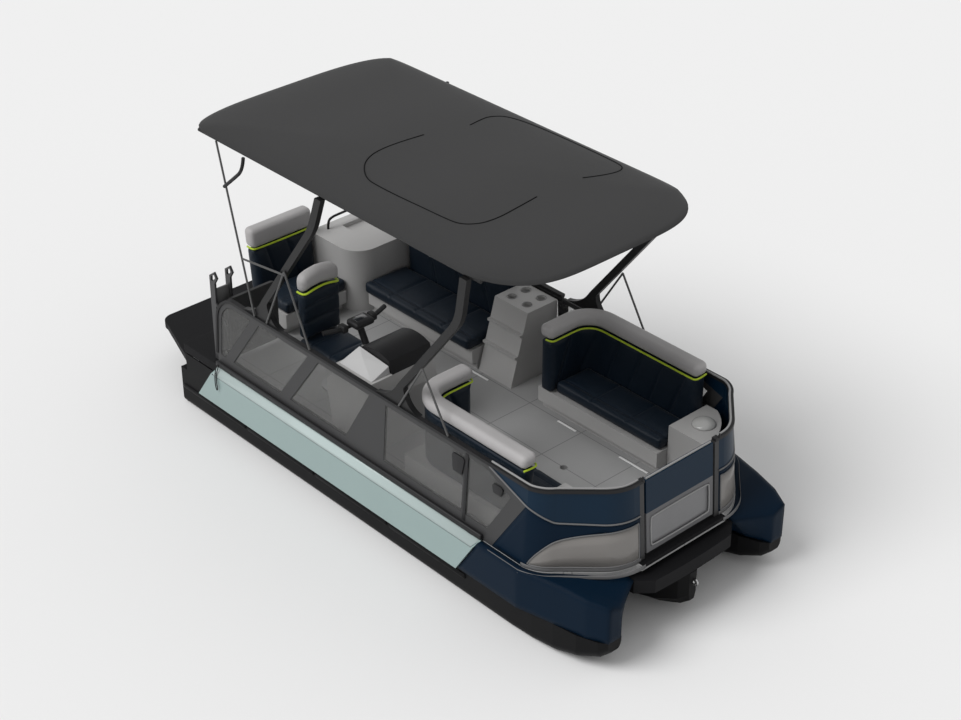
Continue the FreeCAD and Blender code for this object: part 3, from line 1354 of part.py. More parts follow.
corner_plan = [("bench_back_x", "bench_port + cushion_gap"),
               ("corner_front_x - corner_cut", "bench_port + cushion_gap"),
               ("corner_front_x - corner_cut * 0.29", "bench_port + cushion_gap + corner_cut * 0.29", "via"),
               ("corner_front_x", "bench_port + cushion_gap + corner_cut"),
               ("corner_front_x", "lounge_outer"),
               ("bench_back_x", "lounge_outer")]
corner_tray = box(("bench_back_x + tray_margin * 2", "corner_front_x - corner_cut"),
                  ("bench_port + tray_margin + corner_cut", "lounge_outer - tray_margin"),
                  ("corner_top - tray_depth", "corner_top + overrun"))
node(cut(prism("XY", "deck_top", "corner_top", corner_plan), [corner_tray]), "aft_corner_console")

lounge_aft = "(corner_front_x + cushion_gap)"
lounge_back = "(lounge_outer - back_depth)"
node(prism("YZ", lounge_aft, "aft_lounge_front", seat_base("lounge_inner", "lounge_outer")),
     "aft_lounge_base")
node(box((lounge_aft, "aft_lounge_front"), ("aft_seat_inner", f"{lounge_back} - cushion_gap"),
         (cushion_low, "cushion_top")), "aft_lounge_cushion")
node(prism("YZ", lounge_aft, "aft_lounge_front",
           back_rest(lounge_back, "lounge_outer", "back_top", "0 - side_lean")), "aft_lounge_back")

# Cabinet beside the side gate: two ledges along its sloping inboard face and four recesses in its top.
cabinet_slope = "((cabinet_top_inner - cabinet_inner) / (cabinet_top - deck_top))"
cabinet_face = []
for ledge_z in ("ledge_one_z", "ledge_two_z"):
    low_y = f"(cabinet_inner + ({ledge_z} - deck_top) * {cabinet_slope})"
    high_y = f"(cabinet_inner + ({ledge_z} + ledge_height - deck_top) * {cabinet_slope})"
    cabinet_face += [(low_y, ledge_z), (f"{low_y} - ledge_reach", ledge_z),
                     (f"{low_y} - ledge_reach", f"{ledge_z} + ledge_height"),
                     (high_y, f"{ledge_z} + ledge_height")]
cabinet = prism("YZ", "cabinet_aft", "cabinet_front",
                [("cabinet_inner", "deck_top")] + cabinet_face
                + [("cabinet_top_inner", "cabinet_top"), ("lounge_outer", "cabinet_top"),
                   ("lounge_outer", "deck_top")])
cups = []
for along_share in (0.27, 0.73):
    for across_share in (0.27, 0.73):
        cups.append(cylinder("Z", (f"cabinet_aft + (cabinet_front - cabinet_aft) * {along_share}",
                                   f"cabinet_top_inner + (lounge_outer - cabinet_top_inner) * {across_share}",
                                   "cabinet_top - cup_depth"), "cup_depth + overrun", "cup_radius"))
node(cut(cabinet, cups), "port_cabinet")

# Bow lounges: a seat along each side, its backrest turning inboard round a curved corner at the aft end.
bow_base = prism("YZ", "bow_lounge_aft", "bow_lounge_front",
                 seat_base("0 - bow_lounge_inner", "0 - lounge_outer"))
cross_front = "(bow_lounge_aft + cross_back)"
bow_cushion = box((f"{cross_front} + cushion_gap", "bow_lounge_front"),
                  (f"-{lounge_back} + cushion_gap", "-bow_seat_inner"), (cushion_low, "cushion_top"))
bow_back = prism("YZ", f"{cross_front} + cushion_gap", "bow_lounge_front",
                 back_rest(f"0 - {lounge_back}", "0 - lounge_outer", "back_top", "0 - side_lean"))
cross_outer = "(lounge_outer - side_lean)"
bow_cross = prism("XY", cushion_low, "cross_back_top", [
    ("bow_lounge_aft", "-cross_back_inner - back_round"),
    ("bow_lounge_aft + cross_back / 2", "-cross_back_inner", "via"),
    (cross_front, "-cross_back_inner - back_round"), (cross_front, f"-{cross_outer}"),
    (f"bow_lounge_aft + back_round", f"-{cross_outer}"),
    (f"bow_lounge_aft + back_round * 0.29", f"-{cross_outer} + back_round * 0.29", "via"),
    ("bow_lounge_aft", f"-{cross_outer} + back_round")])
node(group([bow_base, mirrored(bow_base)]), "bow_lounge_bases")
node(group([bow_cushion, mirrored(bow_cushion)]), "bow_lounge_cushions")
node(group([bow_back, mirrored(bow_back), bow_cross, mirrored(bow_cross)]), "bow_lounge_backs")

tray_aft = "(bow_lounge_front + cushion_gap)"
tray_deep = "(tray_front - bow_lounge_front)"
tray = prism("XY", "deck_top", "tray_top",
             [(tray_aft, "-lounge_outer"), (f"{tray_aft} + {tray_deep} * 0.3", "-lounge_outer"),
              (f"tray_front - {tray_deep} * 0.2", f"-(lounge_outer + tray_inner + {tray_deep} * 0.3) / 2",
               "via"),
              ("tray_front", "-tray_inner - corner_cut / 3"), ("tray_front", "-tray_inner"),
              (tray_aft, "-tray_inner")])
node(group([tray, mirrored(tray)]), "bow_trays")

# Helm: a faceted console with a crowned dark hood, a swept handlebar on a raked column, a swivel seat.
console = prism("XZ", "0 - console_outer", "0 - console_inner", [
    ("console_aft + toe_space", "deck_top"), ("console_front - rail_width", "deck_top"),
    ("console_front", "console_shelf"), ("console_front - rail_width", "console_top"),
    ("console_aft + rail_width * 3", "console_top"), ("console_aft + rail_width", "console_shelf"),
    ("console_aft", "console_shelf - cushion_lip"), ("console_aft", "console_ledge")])
hood_front = "(console_front - rail_width)"
hood_aft = "(console_aft + rail_width * 4)"
hood = prism("XZ", "0 - hood_outer", "0 - console_inner", [
    (hood_aft, "console_top + seat_gap"), (f"{hood_aft} + rail_width / 2", "hood_top - rail_width"),
    (f"({hood_aft} + {hood_front}) / 2", "hood_top", "via"),
    (f"{hood_front} - rail_width", "hood_top - hood_crown"),
    (hood_front, "console_top + seat_gap")])
node(hood, "console_hood")

column_turn = Rotation(Vector(0, 1, 0), -mm("column_lean_angle"))
pivot = Vector(mm("bar_x"), -mm("bar_y"), mm("bar_z"))
column = doc.addObject("Part::Cylinder", "Column")
bind(column, Radius="column_radius", Height="column_length")
column.Placement = FreeCAD.Placement(pivot - column_turn.multVec(Vector(0, 0, mm("column_length"))),
                                     column_turn)
bar_parts = [column, cylinder("Y", ("bar_x", "-bar_y - bar_half / 2", "bar_z"), "bar_half", "bar_radius")]
for side in ("-", "+"):
    bar_parts.append(tube([("bar_x", f"-bar_y {side} bar_half / 2", "bar_z"),
                           ("bar_x - bar_sweep", f"-bar_y {side} bar_half", "bar_z")], "grip_radius"))
node(fuse(bar_parts), "handlebar")
collar = doc.addObject("Part::Cylinder", "Collar")
bind(collar, Radius="collar_radius", Height="column_length")
collar.Placement = FreeCAD.Placement(pivot - column_turn.multVec(Vector(0, 0,
                                                                        mm("column_length * 2 + seat_gap"))),
                                     column_turn)
node(fuse([console, collar]), "helm_console")

node(fuse([cylinder("Z", ("helm_x", "-helm_y", "deck_top"), "foot_height", "pedestal_foot"),
           cylinder("Z", ("helm_x", "-helm_y", "deck_top"), "pedestal_top - deck_top", "pedestal_radius")]),
     "helm_pedestal")
seat_aft = "(helm_x - helm_seat_back - helm_back_thickness)"
seat_front = "(helm_x + helm_seat_front)"
helm_cushion = prism("XZ", "0 - helm_y - helm_seat_half", "helm_seat_half - helm_y", [
    (seat_aft, "pedestal_top + seat_gap"), (f"{seat_front} - back_round", "pedestal_top + seat_gap"),
    (seat_front, "(pedestal_top + helm_seat_top) / 2", "via"),
    (f"{seat_front} - back_round", "helm_seat_top"),
    (seat_aft, "helm_seat_top")])
shoulder_z = "(helm_back_top - helm_back_round)"
helm_back_face = prism("YZ", f"{seat_aft} - overrun", f"{seat_aft} + helm_back_thickness + back_lean",
                       [(f"-helm_y - helm_seat_half", "helm_seat_top + seat_gap"),
                        (f"-helm_y - helm_seat_half", shoulder_z), ("-helm_y", "helm_back_top", "via"),
                        ("-helm_y + helm_seat_half", shoulder_z),
                        ("-helm_y + helm_seat_half", "helm_seat_top + seat_gap")])
helm_back_side = prism("XZ", "0 - helm_y - helm_seat_half", "helm_seat_half - helm_y",
                       [(seat_aft, "helm_seat_top"), (f"{seat_aft} + helm_back_thickness + back_lean / 2",
                                                      "helm_seat_top"),
                        (f"{seat_aft} + helm_back_thickness", "helm_back_top"), (seat_aft, "helm_back_top")])
node(group([helm_cushion, common([helm_back_face, helm_back_side])]), "helm_seat")

# Canopy: a stretched top with a hem and a crown on a tube frame, on two pairs of bent arms and thin struts.


def canopy_plan(inset):
    """The canopy's outline, its aft edge bowed and its front drawn in, made smaller by an inset."""
    half = f"(canopy_half - {inset})"
    aft_corner = f"(canopy_aft + canopy_aft_bow + {inset})"
    nose = f"(canopy_front - canopy_aft_bow / 2 - {inset})"
    turn = f"({nose} - canopy_side_front)"
    side = [(nose, "-canopy_nose_half"),
            (f"canopy_side_front + {turn} * 0.6", f"-({half} - ({half} - canopy_nose_half) * 0.3)", "via"),
            ("canopy_side_front", f"-{half}"), (f"{aft_corner} + canopy_corner", f"-{half}"),
            (f"{aft_corner} + canopy_corner * 0.29", f"-({half} - canopy_corner * 0.29)", "via"),
            (aft_corner, f"-({half} - canopy_corner)")]
    return side + [(f"canopy_aft + {inset}", "0",
                    "via")] + port_side(side)[::-1] + [(f"canopy_front - {inset}", "0", "via")]


node(loft("XY", [("canopy_low", canopy_plan("0")), ("canopy_low + canopy_hem", canopy_plan("0")),
                 ("canopy_top", canopy_plan("canopy_corner"))]), "canopy")

frame_z = "(canopy_low - side_spar - seat_gap)"
spar_aft = "(canopy_aft + canopy_aft_bow + canopy_corner)"
spars = []
for place in (f"{spar_aft} + side_spar", f"{spar_aft} + (canopy_side_front - {spar_aft}) / 3",
              f"{spar_aft} + (canopy_side_front - {spar_aft}) * 2 / 3", "canopy_side_front - side_spar"):
    spars.append(cylinder("Y", (place, "-spar_y + side_spar + seat_gap", frame_z),
                          "(spar_y - side_spar - seat_gap) * 2",
                          "bow_tube"))
for side in ("-spar_y", "spar_y"):
    spars.append(cylinder("X", (spar_aft, side, frame_z), f"canopy_side_front - {spar_aft}", "side_spar"))
node(group(spars), "canopy_frame")


def arm(foot_x, bend_x, bend_z, top_x):
    """A bent arm in side view, rising from a faired foot on the rail."""
    leg = f"(({bend_x} - {foot_x}) / ({bend_z} - arm_foot_z))"
    rise = f"(({top_x} - {bend_x}) / (canopy_low - {bend_z}))"
    half = "(arm_depth * 0.62)"
    neck = "(arm_foot_z + arm_depth)"
    foot = f"({rail_top} + seat_gap)"
    crown = f"({frame_z} - side_spar - seat_gap)"
    fair_z = f"({foot} + ({neck} - {foot}) * 0.35)"
    return prism("XZ", "0 - arm_y - arm_width / 2", "arm_width / 2 - arm_y", [
        (f"{foot_x} - foot_length", foot), (f"{foot_x} - foot_length * 0.38", fair_z, "via"),
        (f"{foot_x} - {half} + arm_depth * {leg}", neck),
        (f"{bend_x} - {half} - bend_reach * {leg}", f"{bend_z} - bend_reach"),
        (f"{bend_x} - {half} - bend_reach * ({leg} - {rise}) / 4", bend_z, "via"),
        (f"{bend_x} - {half} + bend_reach * {rise}", f"{bend_z} + bend_reach"),
        (f"{top_x} - {half}", crown), (f"{top_x} + {half}", crown),
        (f"{bend_x} + {half} + bend_reach * {rise}", f"{bend_z} + bend_reach"),
        (f"{bend_x} + {half} - bend_reach * ({leg} - {rise}) / 4", bend_z, "via"),
        (f"{bend_x} + {half} - bend_reach * {leg}", f"{bend_z} - bend_reach"),
        (f"{foot_x} + {half} + arm_depth * {leg}", neck), (f"{foot_x} + foot_length * 0.5", fair_z, "via"),
        (f"{foot_x} + foot_length", foot)])


for name, places in (("aft_arms", ("aft_arm_x", "aft_bend_x", "aft_bend_z", "aft_top_x")),
                     ("front_arms", ("front_arm_x", "front_bend_x", "front_bend_z", "front_top_x"))):
    made = arm(*places)
    node(group([made, mirrored(made)]), name)

strut_low = f"({rail_top} + strut_radius + seat_gap)"
strut_y = "(0 - arm_y - arm_width / 2 - strut_radius - seat_gap)"
struts = [tube([("rear_strut_foot_x", f"{strut_y} - overrun", strut_low),
                ("rear_strut_top_x", "-spar_y - side_spar - strut_radius - seat_gap", frame_z)],
               "strut_radius")]
for apex_x, apex_z in (("aft_strut_x", "aft_strut_z"), ("front_strut_x", "front_strut_z")):
    struts.append(fuse([tube([(f"{apex_x} {side} strut_spread", strut_y, strut_low),
                              (apex_x, strut_y, apex_z)],
                             "strut_radius") for side in "-+"]))
starboard_struts = group(struts)
node(group([starboard_struts, mirrored(starboard_struts)]), "canopy_struts")

# Mooring cleats on the upper edge of the side covers.
cleats = []
for place in ("cleat_aft_x", "cleat_front_x"):
    sides = (f"-{fence_low_side} - cleat_width - overrun / 2", f"-{fence_low_side} - seat_gap")
    foot = box((f"{place} + cleat_length / 3", f"{place} + cleat_length * 2 / 3"), sides,
               ("cover_top + seat_gap", "cover_top + cleat_height / 2"))
    horn = box((place, f"{place} + cleat_length"), sides,
               ("cover_top + cleat_height / 2", "cover_top + cleat_height"))
    cleats.append(fuse([foot, horn]))
starboard_cleats = group(cleats)
node(group([starboard_cleats, mirrored(starboard_cleats)]), "cleats")

doc.recompute()
for item in doc.Objects:
    if {"Invalid", "Error"} & set(item.State):
        raise SystemExit(f"{item.Label} ({item.Name}) failed: {item.State}")
for item in nodes:
    if item.Shape.isNull() or not item.Shape.isValid() or not item.Shape.Solids:
        raise SystemExit(f"{item.Label} has no valid solid")
os.makedirs("parts", exist_ok=True)
for item in nodes:
    item.Shape.exportStep(f"parts/{item.Label}.step")
    bounds = item.Shape.BoundBox
    print(item.Label, len(item.Shape.Solids), "solids", [round(v) for v in (
        bounds.XMin, bounds.XMax, bounds.YMin, bounds.YMax, bounds.ZMin, bounds.ZMax)])
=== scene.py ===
# Pontoon boat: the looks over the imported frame, from the hulls up to the canopy.
import math

import bmesh
import bpy
from mathutils import Matrix, Vector


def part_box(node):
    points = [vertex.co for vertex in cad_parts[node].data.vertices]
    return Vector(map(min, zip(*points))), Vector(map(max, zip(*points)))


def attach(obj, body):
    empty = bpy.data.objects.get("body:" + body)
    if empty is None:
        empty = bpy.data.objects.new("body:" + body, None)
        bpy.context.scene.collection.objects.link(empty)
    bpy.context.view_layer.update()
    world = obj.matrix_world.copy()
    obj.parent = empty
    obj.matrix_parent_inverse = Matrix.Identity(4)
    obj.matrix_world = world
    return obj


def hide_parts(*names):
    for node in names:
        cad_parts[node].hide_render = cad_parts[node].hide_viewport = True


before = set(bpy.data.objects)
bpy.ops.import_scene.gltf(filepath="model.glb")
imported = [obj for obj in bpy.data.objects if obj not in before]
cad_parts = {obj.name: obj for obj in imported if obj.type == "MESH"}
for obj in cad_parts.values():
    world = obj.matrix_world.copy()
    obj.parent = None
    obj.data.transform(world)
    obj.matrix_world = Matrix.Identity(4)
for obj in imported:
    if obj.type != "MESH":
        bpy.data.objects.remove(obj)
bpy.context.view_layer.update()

# Hulls
# Three rotomoulded floats in black polyethylene with a fine pebbled skin, bolted under the deck beams.
# A moulded rub strake in four lengths runs along each outer chine.


def grain_group():
    """Fine pebble and broad blotches for moulded and painted skins, read from the object's own place."""
    group = bpy.data.node_groups.new("moulded_skin", "ShaderNodeTree")
    for label, way in (("Scale", "INPUT"), ("Height", "OUTPUT"), ("Blotch", "OUTPUT")):
        group.interface.new_socket(label, in_out=way, socket_type="NodeSocketFloat")
    inputs, outputs = group.nodes.new("NodeGroupInput"), group.nodes.new("NodeGroupOutput")
    place = group.nodes.new("ShaderNodeTexCoord")
    fine, broad = group.nodes.new("ShaderNodeTexNoise"), group.nodes.new("ShaderNodeTexNoise")
    fine_detail, blotch_scale, blotch_detail = 3, 2.4, 4
    fine.inputs["Detail"].default_value = fine_detail
    broad.inputs["Scale"].default_value = blotch_scale
    broad.inputs["Detail"].default_value = blotch_detail
    links = group.links
    links.new(place.outputs["Object"], fine.inputs["Vector"])
    links.new(place.outputs["Object"], broad.inputs["Vector"])
    links.new(inputs.outputs["Scale"], fine.inputs["Scale"])
    links.new(fine.outputs["Fac"], outputs.inputs["Height"])
    links.new(broad.outputs["Fac"], outputs.inputs["Blotch"])
    return group


moulded_skin = grain_group()


def moulded(name, colour, rough, grain=220, depth=0.12, blotch=0.12, metal=0.0, gloss=0.0, shine=0.3):
    """A moulded or painted finish: its colour and roughness drift a little, its skin has a fine grain."""
    rough_drift, lacquer_rough, grain_height = 0.15, 0.12, 0.002
    coat = bpy.data.materials.new(name)
    coat.use_nodes = True
    tree = coat.node_tree
    skin = tree.nodes["Principled BSDF"]
    skin.inputs["Metallic"].default_value = metal
    skin.inputs["Specular IOR Level"].default_value = shine
    skin.inputs["Coat Weight"].default_value = gloss
    skin.inputs["Coat Roughness"].default_value = lacquer_rough
    grain_node = tree.nodes.new("ShaderNodeGroup")
    grain_node.node_tree = moulded_skin
    grain_node.inputs["Scale"].default_value = grain
    tint = tree.nodes.new("ShaderNodeMix")
    tint.data_type = "RGBA"
    tint.inputs["A"].default_value = [*(part * (1 - blotch) for part in colour), 1]
    tint.inputs["B"].default_value = [*(min(1, part * (1 + blotch)) for part in colour), 1]
    wear = tree.nodes.new("ShaderNodeMapRange")
    wear.inputs["To Min"].default_value = rough * (1 - rough_drift)
    wear.inputs["To Max"].default_value = min(1, rough * (1 + rough_drift))
    bump = tree.nodes.new("ShaderNodeBump")
    bump.inputs["Strength"].default_value = depth
    bump.inputs["Distance"].default_value = grain_height
    tree.links.new(grain_node.outputs["Blotch"], tint.inputs["Factor"])
    tree.links.new(grain_node.outputs["Blotch"], wear.inputs["Value"])
    tree.links.new(grain_node.outputs["Height"], bump.inputs["Height"])
    tree.links.new(tint.outputs["Result"], skin.inputs["Base Color"])
    tree.links.new(wear.outputs["Result"], skin.inputs["Roughness"])
    tree.links.new(bump.outputs["Normal"], skin.inputs["Normal"])
    return coat


def dress(coat, *nodes):
    """Give CAD nodes a coat."""
    for name in nodes:
        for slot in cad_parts[name].material_slots:
            slot.material = coat


def placed(name, data):
    """A new object in the scene for a mesh, a curve, a camera or a lamp."""
    made = bpy.data.objects.new(name, data)
    bpy.context.scene.collection.objects.link(made)
    return made


def piece(name, shape, coat, body="root", smooth=True):
    """Turn a bmesh into a finished object with one coat, riding on a body."""
    bmesh.ops.recalc_face_normals(shape, faces=shape.faces)
    for face in shape.faces:
        face.smooth = smooth
    data = bpy.data.meshes.new(name)
    shape.to_mesh(data)
    shape.free()
    made = placed(name, data)
    data.materials.append(coat)
    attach(made, body)
    return made


def soften(shape, edges, rim, segments=2):
    """Round edges of a bmesh."""
    bmesh.ops.bevel(shape, geom=edges, offset=rim, offset_type="OFFSET", affect="EDGES", segments=segments,
                    profile=0.5, material=-1)


def block(shape, low, high, rim, segments=2):
    """Add a box between two corners to a bmesh, its edges rounded."""
    new = bmesh.ops.create_cube(shape, size=1)["verts"]
    low, high = Vector(low), Vector(high)
    bmesh.ops.scale(shape, vec=high - low, verts=new)
    bmesh.ops.translate(shape, vec=(low + high) / 2, verts=new)
    soften(shape, list(dict.fromkeys(edge for vert in new for edge in vert.link_edges)), rim, segments)


def both_sides(shape):
    """Mirror a bmesh across the boat's centre plane and keep both halves."""
    copy = bmesh.ops.duplicate(shape, geom=shape.verts[:] + shape.edges[:] + shape.faces[:])["geom"]
    verts = [part for part in copy if isinstance(part, bmesh.types.BMVert)]
    faces = [part for part in copy if isinstance(part, bmesh.types.BMFace)]
    bmesh.ops.scale(shape, vec=(1, -1, 1), verts=verts)
    bmesh.ops.reverse_faces(shape, faces=faces)


hull_black = moulded("hull_black", (0.004, 0.004, 0.0045), 0.5, grain=160, depth=0.2, shine=0.12)
dress(hull_black, "starboard_hull", "port_hull", "centre_hull")
hull_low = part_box("starboard_hull")[0]
strake = bmesh.new()
strake_length, strake_gap, strake_foot, strake_top = 0.93, 0.03, 0.17, 0.215
for number in range(4):
    aft = hull_low[0] + strake_gap + number * (strake_length + strake_gap)
    block(strake, (aft, hull_low[1] - 0.014, strake_foot),
          (aft + strake_length, hull_low[1] + 0.02, strake_top), 0.012)
both_sides(strake)
piece("rub_strakes", strake, hull_black)

# Side covers
# Gloss moulded skins in pale grey-green over the hull sides, clipped under a dark sill at the deck's edge.
# A dark groove parts each from a thin sheet laid over the cover's sloping edge, painted paler than the cover
# as a painted highlight on the gloss edge.


def thicken(made, label, thick):
    """Give an open run of faces its thickness."""
    shell = made.modifiers.new(label, "SOLIDIFY")
    shell.thickness = thick


pale_gloss = moulded("pale_gloss", (0.26, 0.345, 0.337), 0.3, grain=40, depth=0.02, blotch=0.04, gloss=0.4)
dress(pale_gloss, "starboard_side_cover", "port_side_cover")
side_low, side_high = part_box("starboard_side_cover")
deck_low, deck_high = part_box("deck")
sill_black = moulded("sill_black", (0.014, 0.014, 0.015), 0.5, grain=300)
# Painted highlight: the sheet on each cover's sloping edge is a paler copy of the cover's grey-green,
# standing in for light on its gloss edge.
cover_edge_highlight = moulded("cover_edge_highlight", (0.42, 0.5, 0.49), 0.3, grain=60, depth=0.02, blotch=0.03, gloss=0.4)
sill = bmesh.new()
sill_aft, sill_front, sill_out, sill_in = -1.66, 1.78, -1.178, -1.146
block(sill, (sill_aft, sill_out, deck_high[2] + 0.012), (sill_front, sill_in, deck_high[2] + 0.062), 0.01)
both_sides(sill)
piece("deck_sills", sill, sill_black)
groove_z, top_z, top_y = 0.603, side_high[2] + 0.001, -1.166
strip = bmesh.new()
strip_profile = ((groove_z, side_low[1] - 0.003, -0.05), (groove_z + 0.02, side_low[1] + 0.009, -0.035),
                 (top_z - 0.012, top_y - 0.011, -0.008), (top_z, top_y, 0))
rows = []
for height, side, rake in strip_profile:
    ends = side_low[0] + 0.26 - 0.05 * rake, side_high[0] + rake - 0.012
    rows.append([strip.verts.new((x, side, height)) for x in ends])
for under, over in zip(rows, rows[1:]):
    strip.faces.new((under[0], under[1], over[1], over[0]))
both_sides(strip)
thicken(piece("cover_top_highlights", strip, cover_edge_highlight), "shell", 0.002)
groove = bmesh.new()
block(groove, (side_low[0] + 0.24, side_low[1] - 0.002, groove_z - 0.006),
      (side_high[0] - 0.06, side_low[1] + 0.006, groove_z), 0.001, 1)
both_sides(groove)
piece("cover_grooves", groove, sill_black)

# Bow covers and bow walls
# Navy moulded shells, screwed to the stems and to the deck's edge; their corners catch the light softly.
# The band along the walls' top is the same navy, painted lighter as a painted highlight along its bulge.
navy_gloss = moulded("navy_gloss", (0.0016, 0.0095, 0.0225), 0.4, grain=500, depth=0.03, blotch=0.1,
                     gloss=0.02, shine=0.07)
navy_bump = navy_gloss.node_tree.nodes["Bump"]
soft_edges = navy_gloss.node_tree.nodes.new("ShaderNodeBevel")
soft_edges.samples = 6
soft_edges.inputs["Radius"].default_value = 0.07
navy_gloss.node_tree.links.new(soft_edges.outputs["Normal"], navy_bump.inputs["Normal"])
dress(navy_gloss, "starboard_bow_cover", "port_bow_cover", "starboard_bow_panel", "port_bow_panel")
# Painted highlight: the bands are a lighter copy of the walls' navy, standing in for light on their bulge.
band_highlight_navy = moulded("band_highlight_navy", (0.003, 0.016, 0.035), 0.36, grain=500, depth=0.03, blotch=0.1, gloss=0.03,
                    shine=0.13)
dress(band_highlight_navy, "starboard_bow_band", "port_bow_band", "bow_gate_band")

# Deck and step
# Grey deck tiles in pebbled rubber with moulded joints, over aluminium cross beams.
# The platform and the bow step are black rubber, the folded ladder is aluminium.


def tiled(name, colour, joint, width, length):
    """Pebbled deck tiles with fine joints between them."""
    joint_width = 0.004
    coat = moulded(name, colour, 0.62, grain=260, depth=0.3, blotch=0.08)
    tree = coat.node_tree
    place, brick = tree.nodes.new("ShaderNodeTexCoord"), tree.nodes.new("ShaderNodeTexBrick")
    brick.offset = 0
    brick.inputs["Scale"].default_value = 1
    brick.inputs["Mortar Size"].default_value = joint_width
    brick.inputs["Brick Width"].default_value = length
    brick.inputs["Row Height"].default_value = width
    mix = tree.nodes.new("ShaderNodeMix")
    mix.data_type = "RGBA"
    mix.inputs["B"].default_value = [*joint, 1]
    skin = tree.nodes["Principled BSDF"]
    tint = skin.inputs["Base Color"].links[0].from_socket
    tree.links.new(place.outputs["Object"], brick.inputs["Vector"])
    tree.links.new(brick.outputs["Fac"], mix.inputs["Factor"])
    tree.links.new(tint, mix.inputs["A"])
    tree.links.new(mix.outputs["Result"], skin.inputs["Base Color"])
    return coat


deck_grey = tiled("deck_grey", (0.34, 0.34, 0.34), (0.2, 0.2, 0.2), 0.46, 0.62)
dress(deck_grey, "deck")
pad_black = moulded("pad_black", (0.009, 0.009, 0.01), 0.6, grain=200, depth=0.35, shine=0.1)
dress(pad_black, "swim_platform", "bow_step")
beam_metal = moulded("beam_metal", (0.5, 0.51, 0.52), 0.38, grain=90, depth=0.05, metal=0.9)
dress(beam_metal, "deck_beams", "boarding_ladder")

# Water-jet drive
# Cast metal pump, impeller, nozzle, reverse bucket and ride plate, behind a painted engine block.
# The bow eye under the front of the deck is steel.
jet_metal = moulded("jet_metal", (0.42, 0.43, 0.44), 0.42, grain=140, depth=0.25, metal=0.85)
dress(jet_metal, "jet_pump", "impeller", "steering_nozzle", "reverse_bucket", "ride_plate")
dress(moulded("engine_grey", (0.2, 0.2, 0.21), 0.5, grain=120, depth=0.2, metal=0.6), "engine_block")
dress(moulded("steel", (0.6, 0.6, 0.6), 0.25, grain=80, depth=0.03, metal=1.0), "bow_eye")

# Side fences
# Satin charcoal frames with raked bars, glazed with smoked acrylic sheets that are pressed in from inside.
fence_grey = moulded("fence_grey", (0.042, 0.042, 0.043), 0.45, grain=260, depth=0.08, shine=0.25)
dress(fence_grey, "starboard_fence", "port_fence", "side_gate_frame", "stern_gate")
smoked = bpy.data.materials.new("smoked_acrylic")
smoked.use_nodes = True
smoked_skin = smoked.node_tree.nodes["Principled BSDF"]
smoked_skin.inputs["Base Color"].default_value = (0.52, 0.52, 0.515, 1)
smoked_skin.inputs["Roughness"].default_value = 0.0
smoked_skin.inputs["Transmission Weight"].default_value = 0.88
smoked_skin.inputs["IOR"].default_value = 1.01
dress(smoked, "starboard_screens", "port_screens", "side_gate_screen")

# Top rails
# Dark capping along the fences, round the bow and down the aft hoops, and the other satin black fittings.
# The boarding posts with their loops are a shade lighter.
rail_dark = moulded("rail_dark", (0.014, 0.014, 0.015), 0.45, grain=240, depth=0.1, shine=0.2)
dress(rail_dark, "starboard_rail", "port_rail", "cleats", "handlebar", "console_hood")
post_dark = moulded("post_dark", (0.045, 0.045, 0.047), 0.38, grain=240)
dress(post_dark, "grab_loop")

# Bow gate
# A charcoal frame round a recessed grey plate, left bare, under a navy band like the walls', painted lighter
# as a painted highlight.
gate_grey = moulded("gate_grey", (0.11, 0.11, 0.115), 0.4, grain=240)
dress(gate_grey, "bow_gate_frame")
dress(moulded("plate_grey", (0.2, 0.2, 0.205), 0.45, grain=240), "bow_gate_panel")

# Moulded furniture
# Seat bases, trays, cabinet and helm console in pale grey moulded plastic with a fine leather grain.
base_grey = moulded("base_grey", (0.42, 0.415, 0.41), 0.45, grain=320, depth=0.12, blotch=0.06)
dress(base_grey, "stern_bench_base", "aft_lounge_base", "bow_lounge_bases", "aft_corner_console", "bow_trays",
      "port_cabinet", "helm_console")
dress(moulded("pedestal_metal", (0.4, 0.4, 0.41), 0.3, grain=80, metal=0.8), "helm_pedestal")

# Stern bench
# Foam pads under navy marine vinyl on the moulded base: quilted seat and back, a grey top roll, lime piping.


def vinyl(name, colour, rough):
    """Marine vinyl: a leather grain over soft blotches of wear."""
    coat = moulded(name, colour, rough, grain=420, depth=0.25, blotch=0.16)
    coat.node_tree.nodes["Principled BSDF"].inputs["Sheen Weight"].default_value = 0.04
    return coat


def settle(made):
    """Apply a piece's modifiers to its mesh."""
    ready = made.evaluated_get(bpy.context.evaluated_depsgraph_get())
    made.data = bpy.data.meshes.new_from_object(ready)


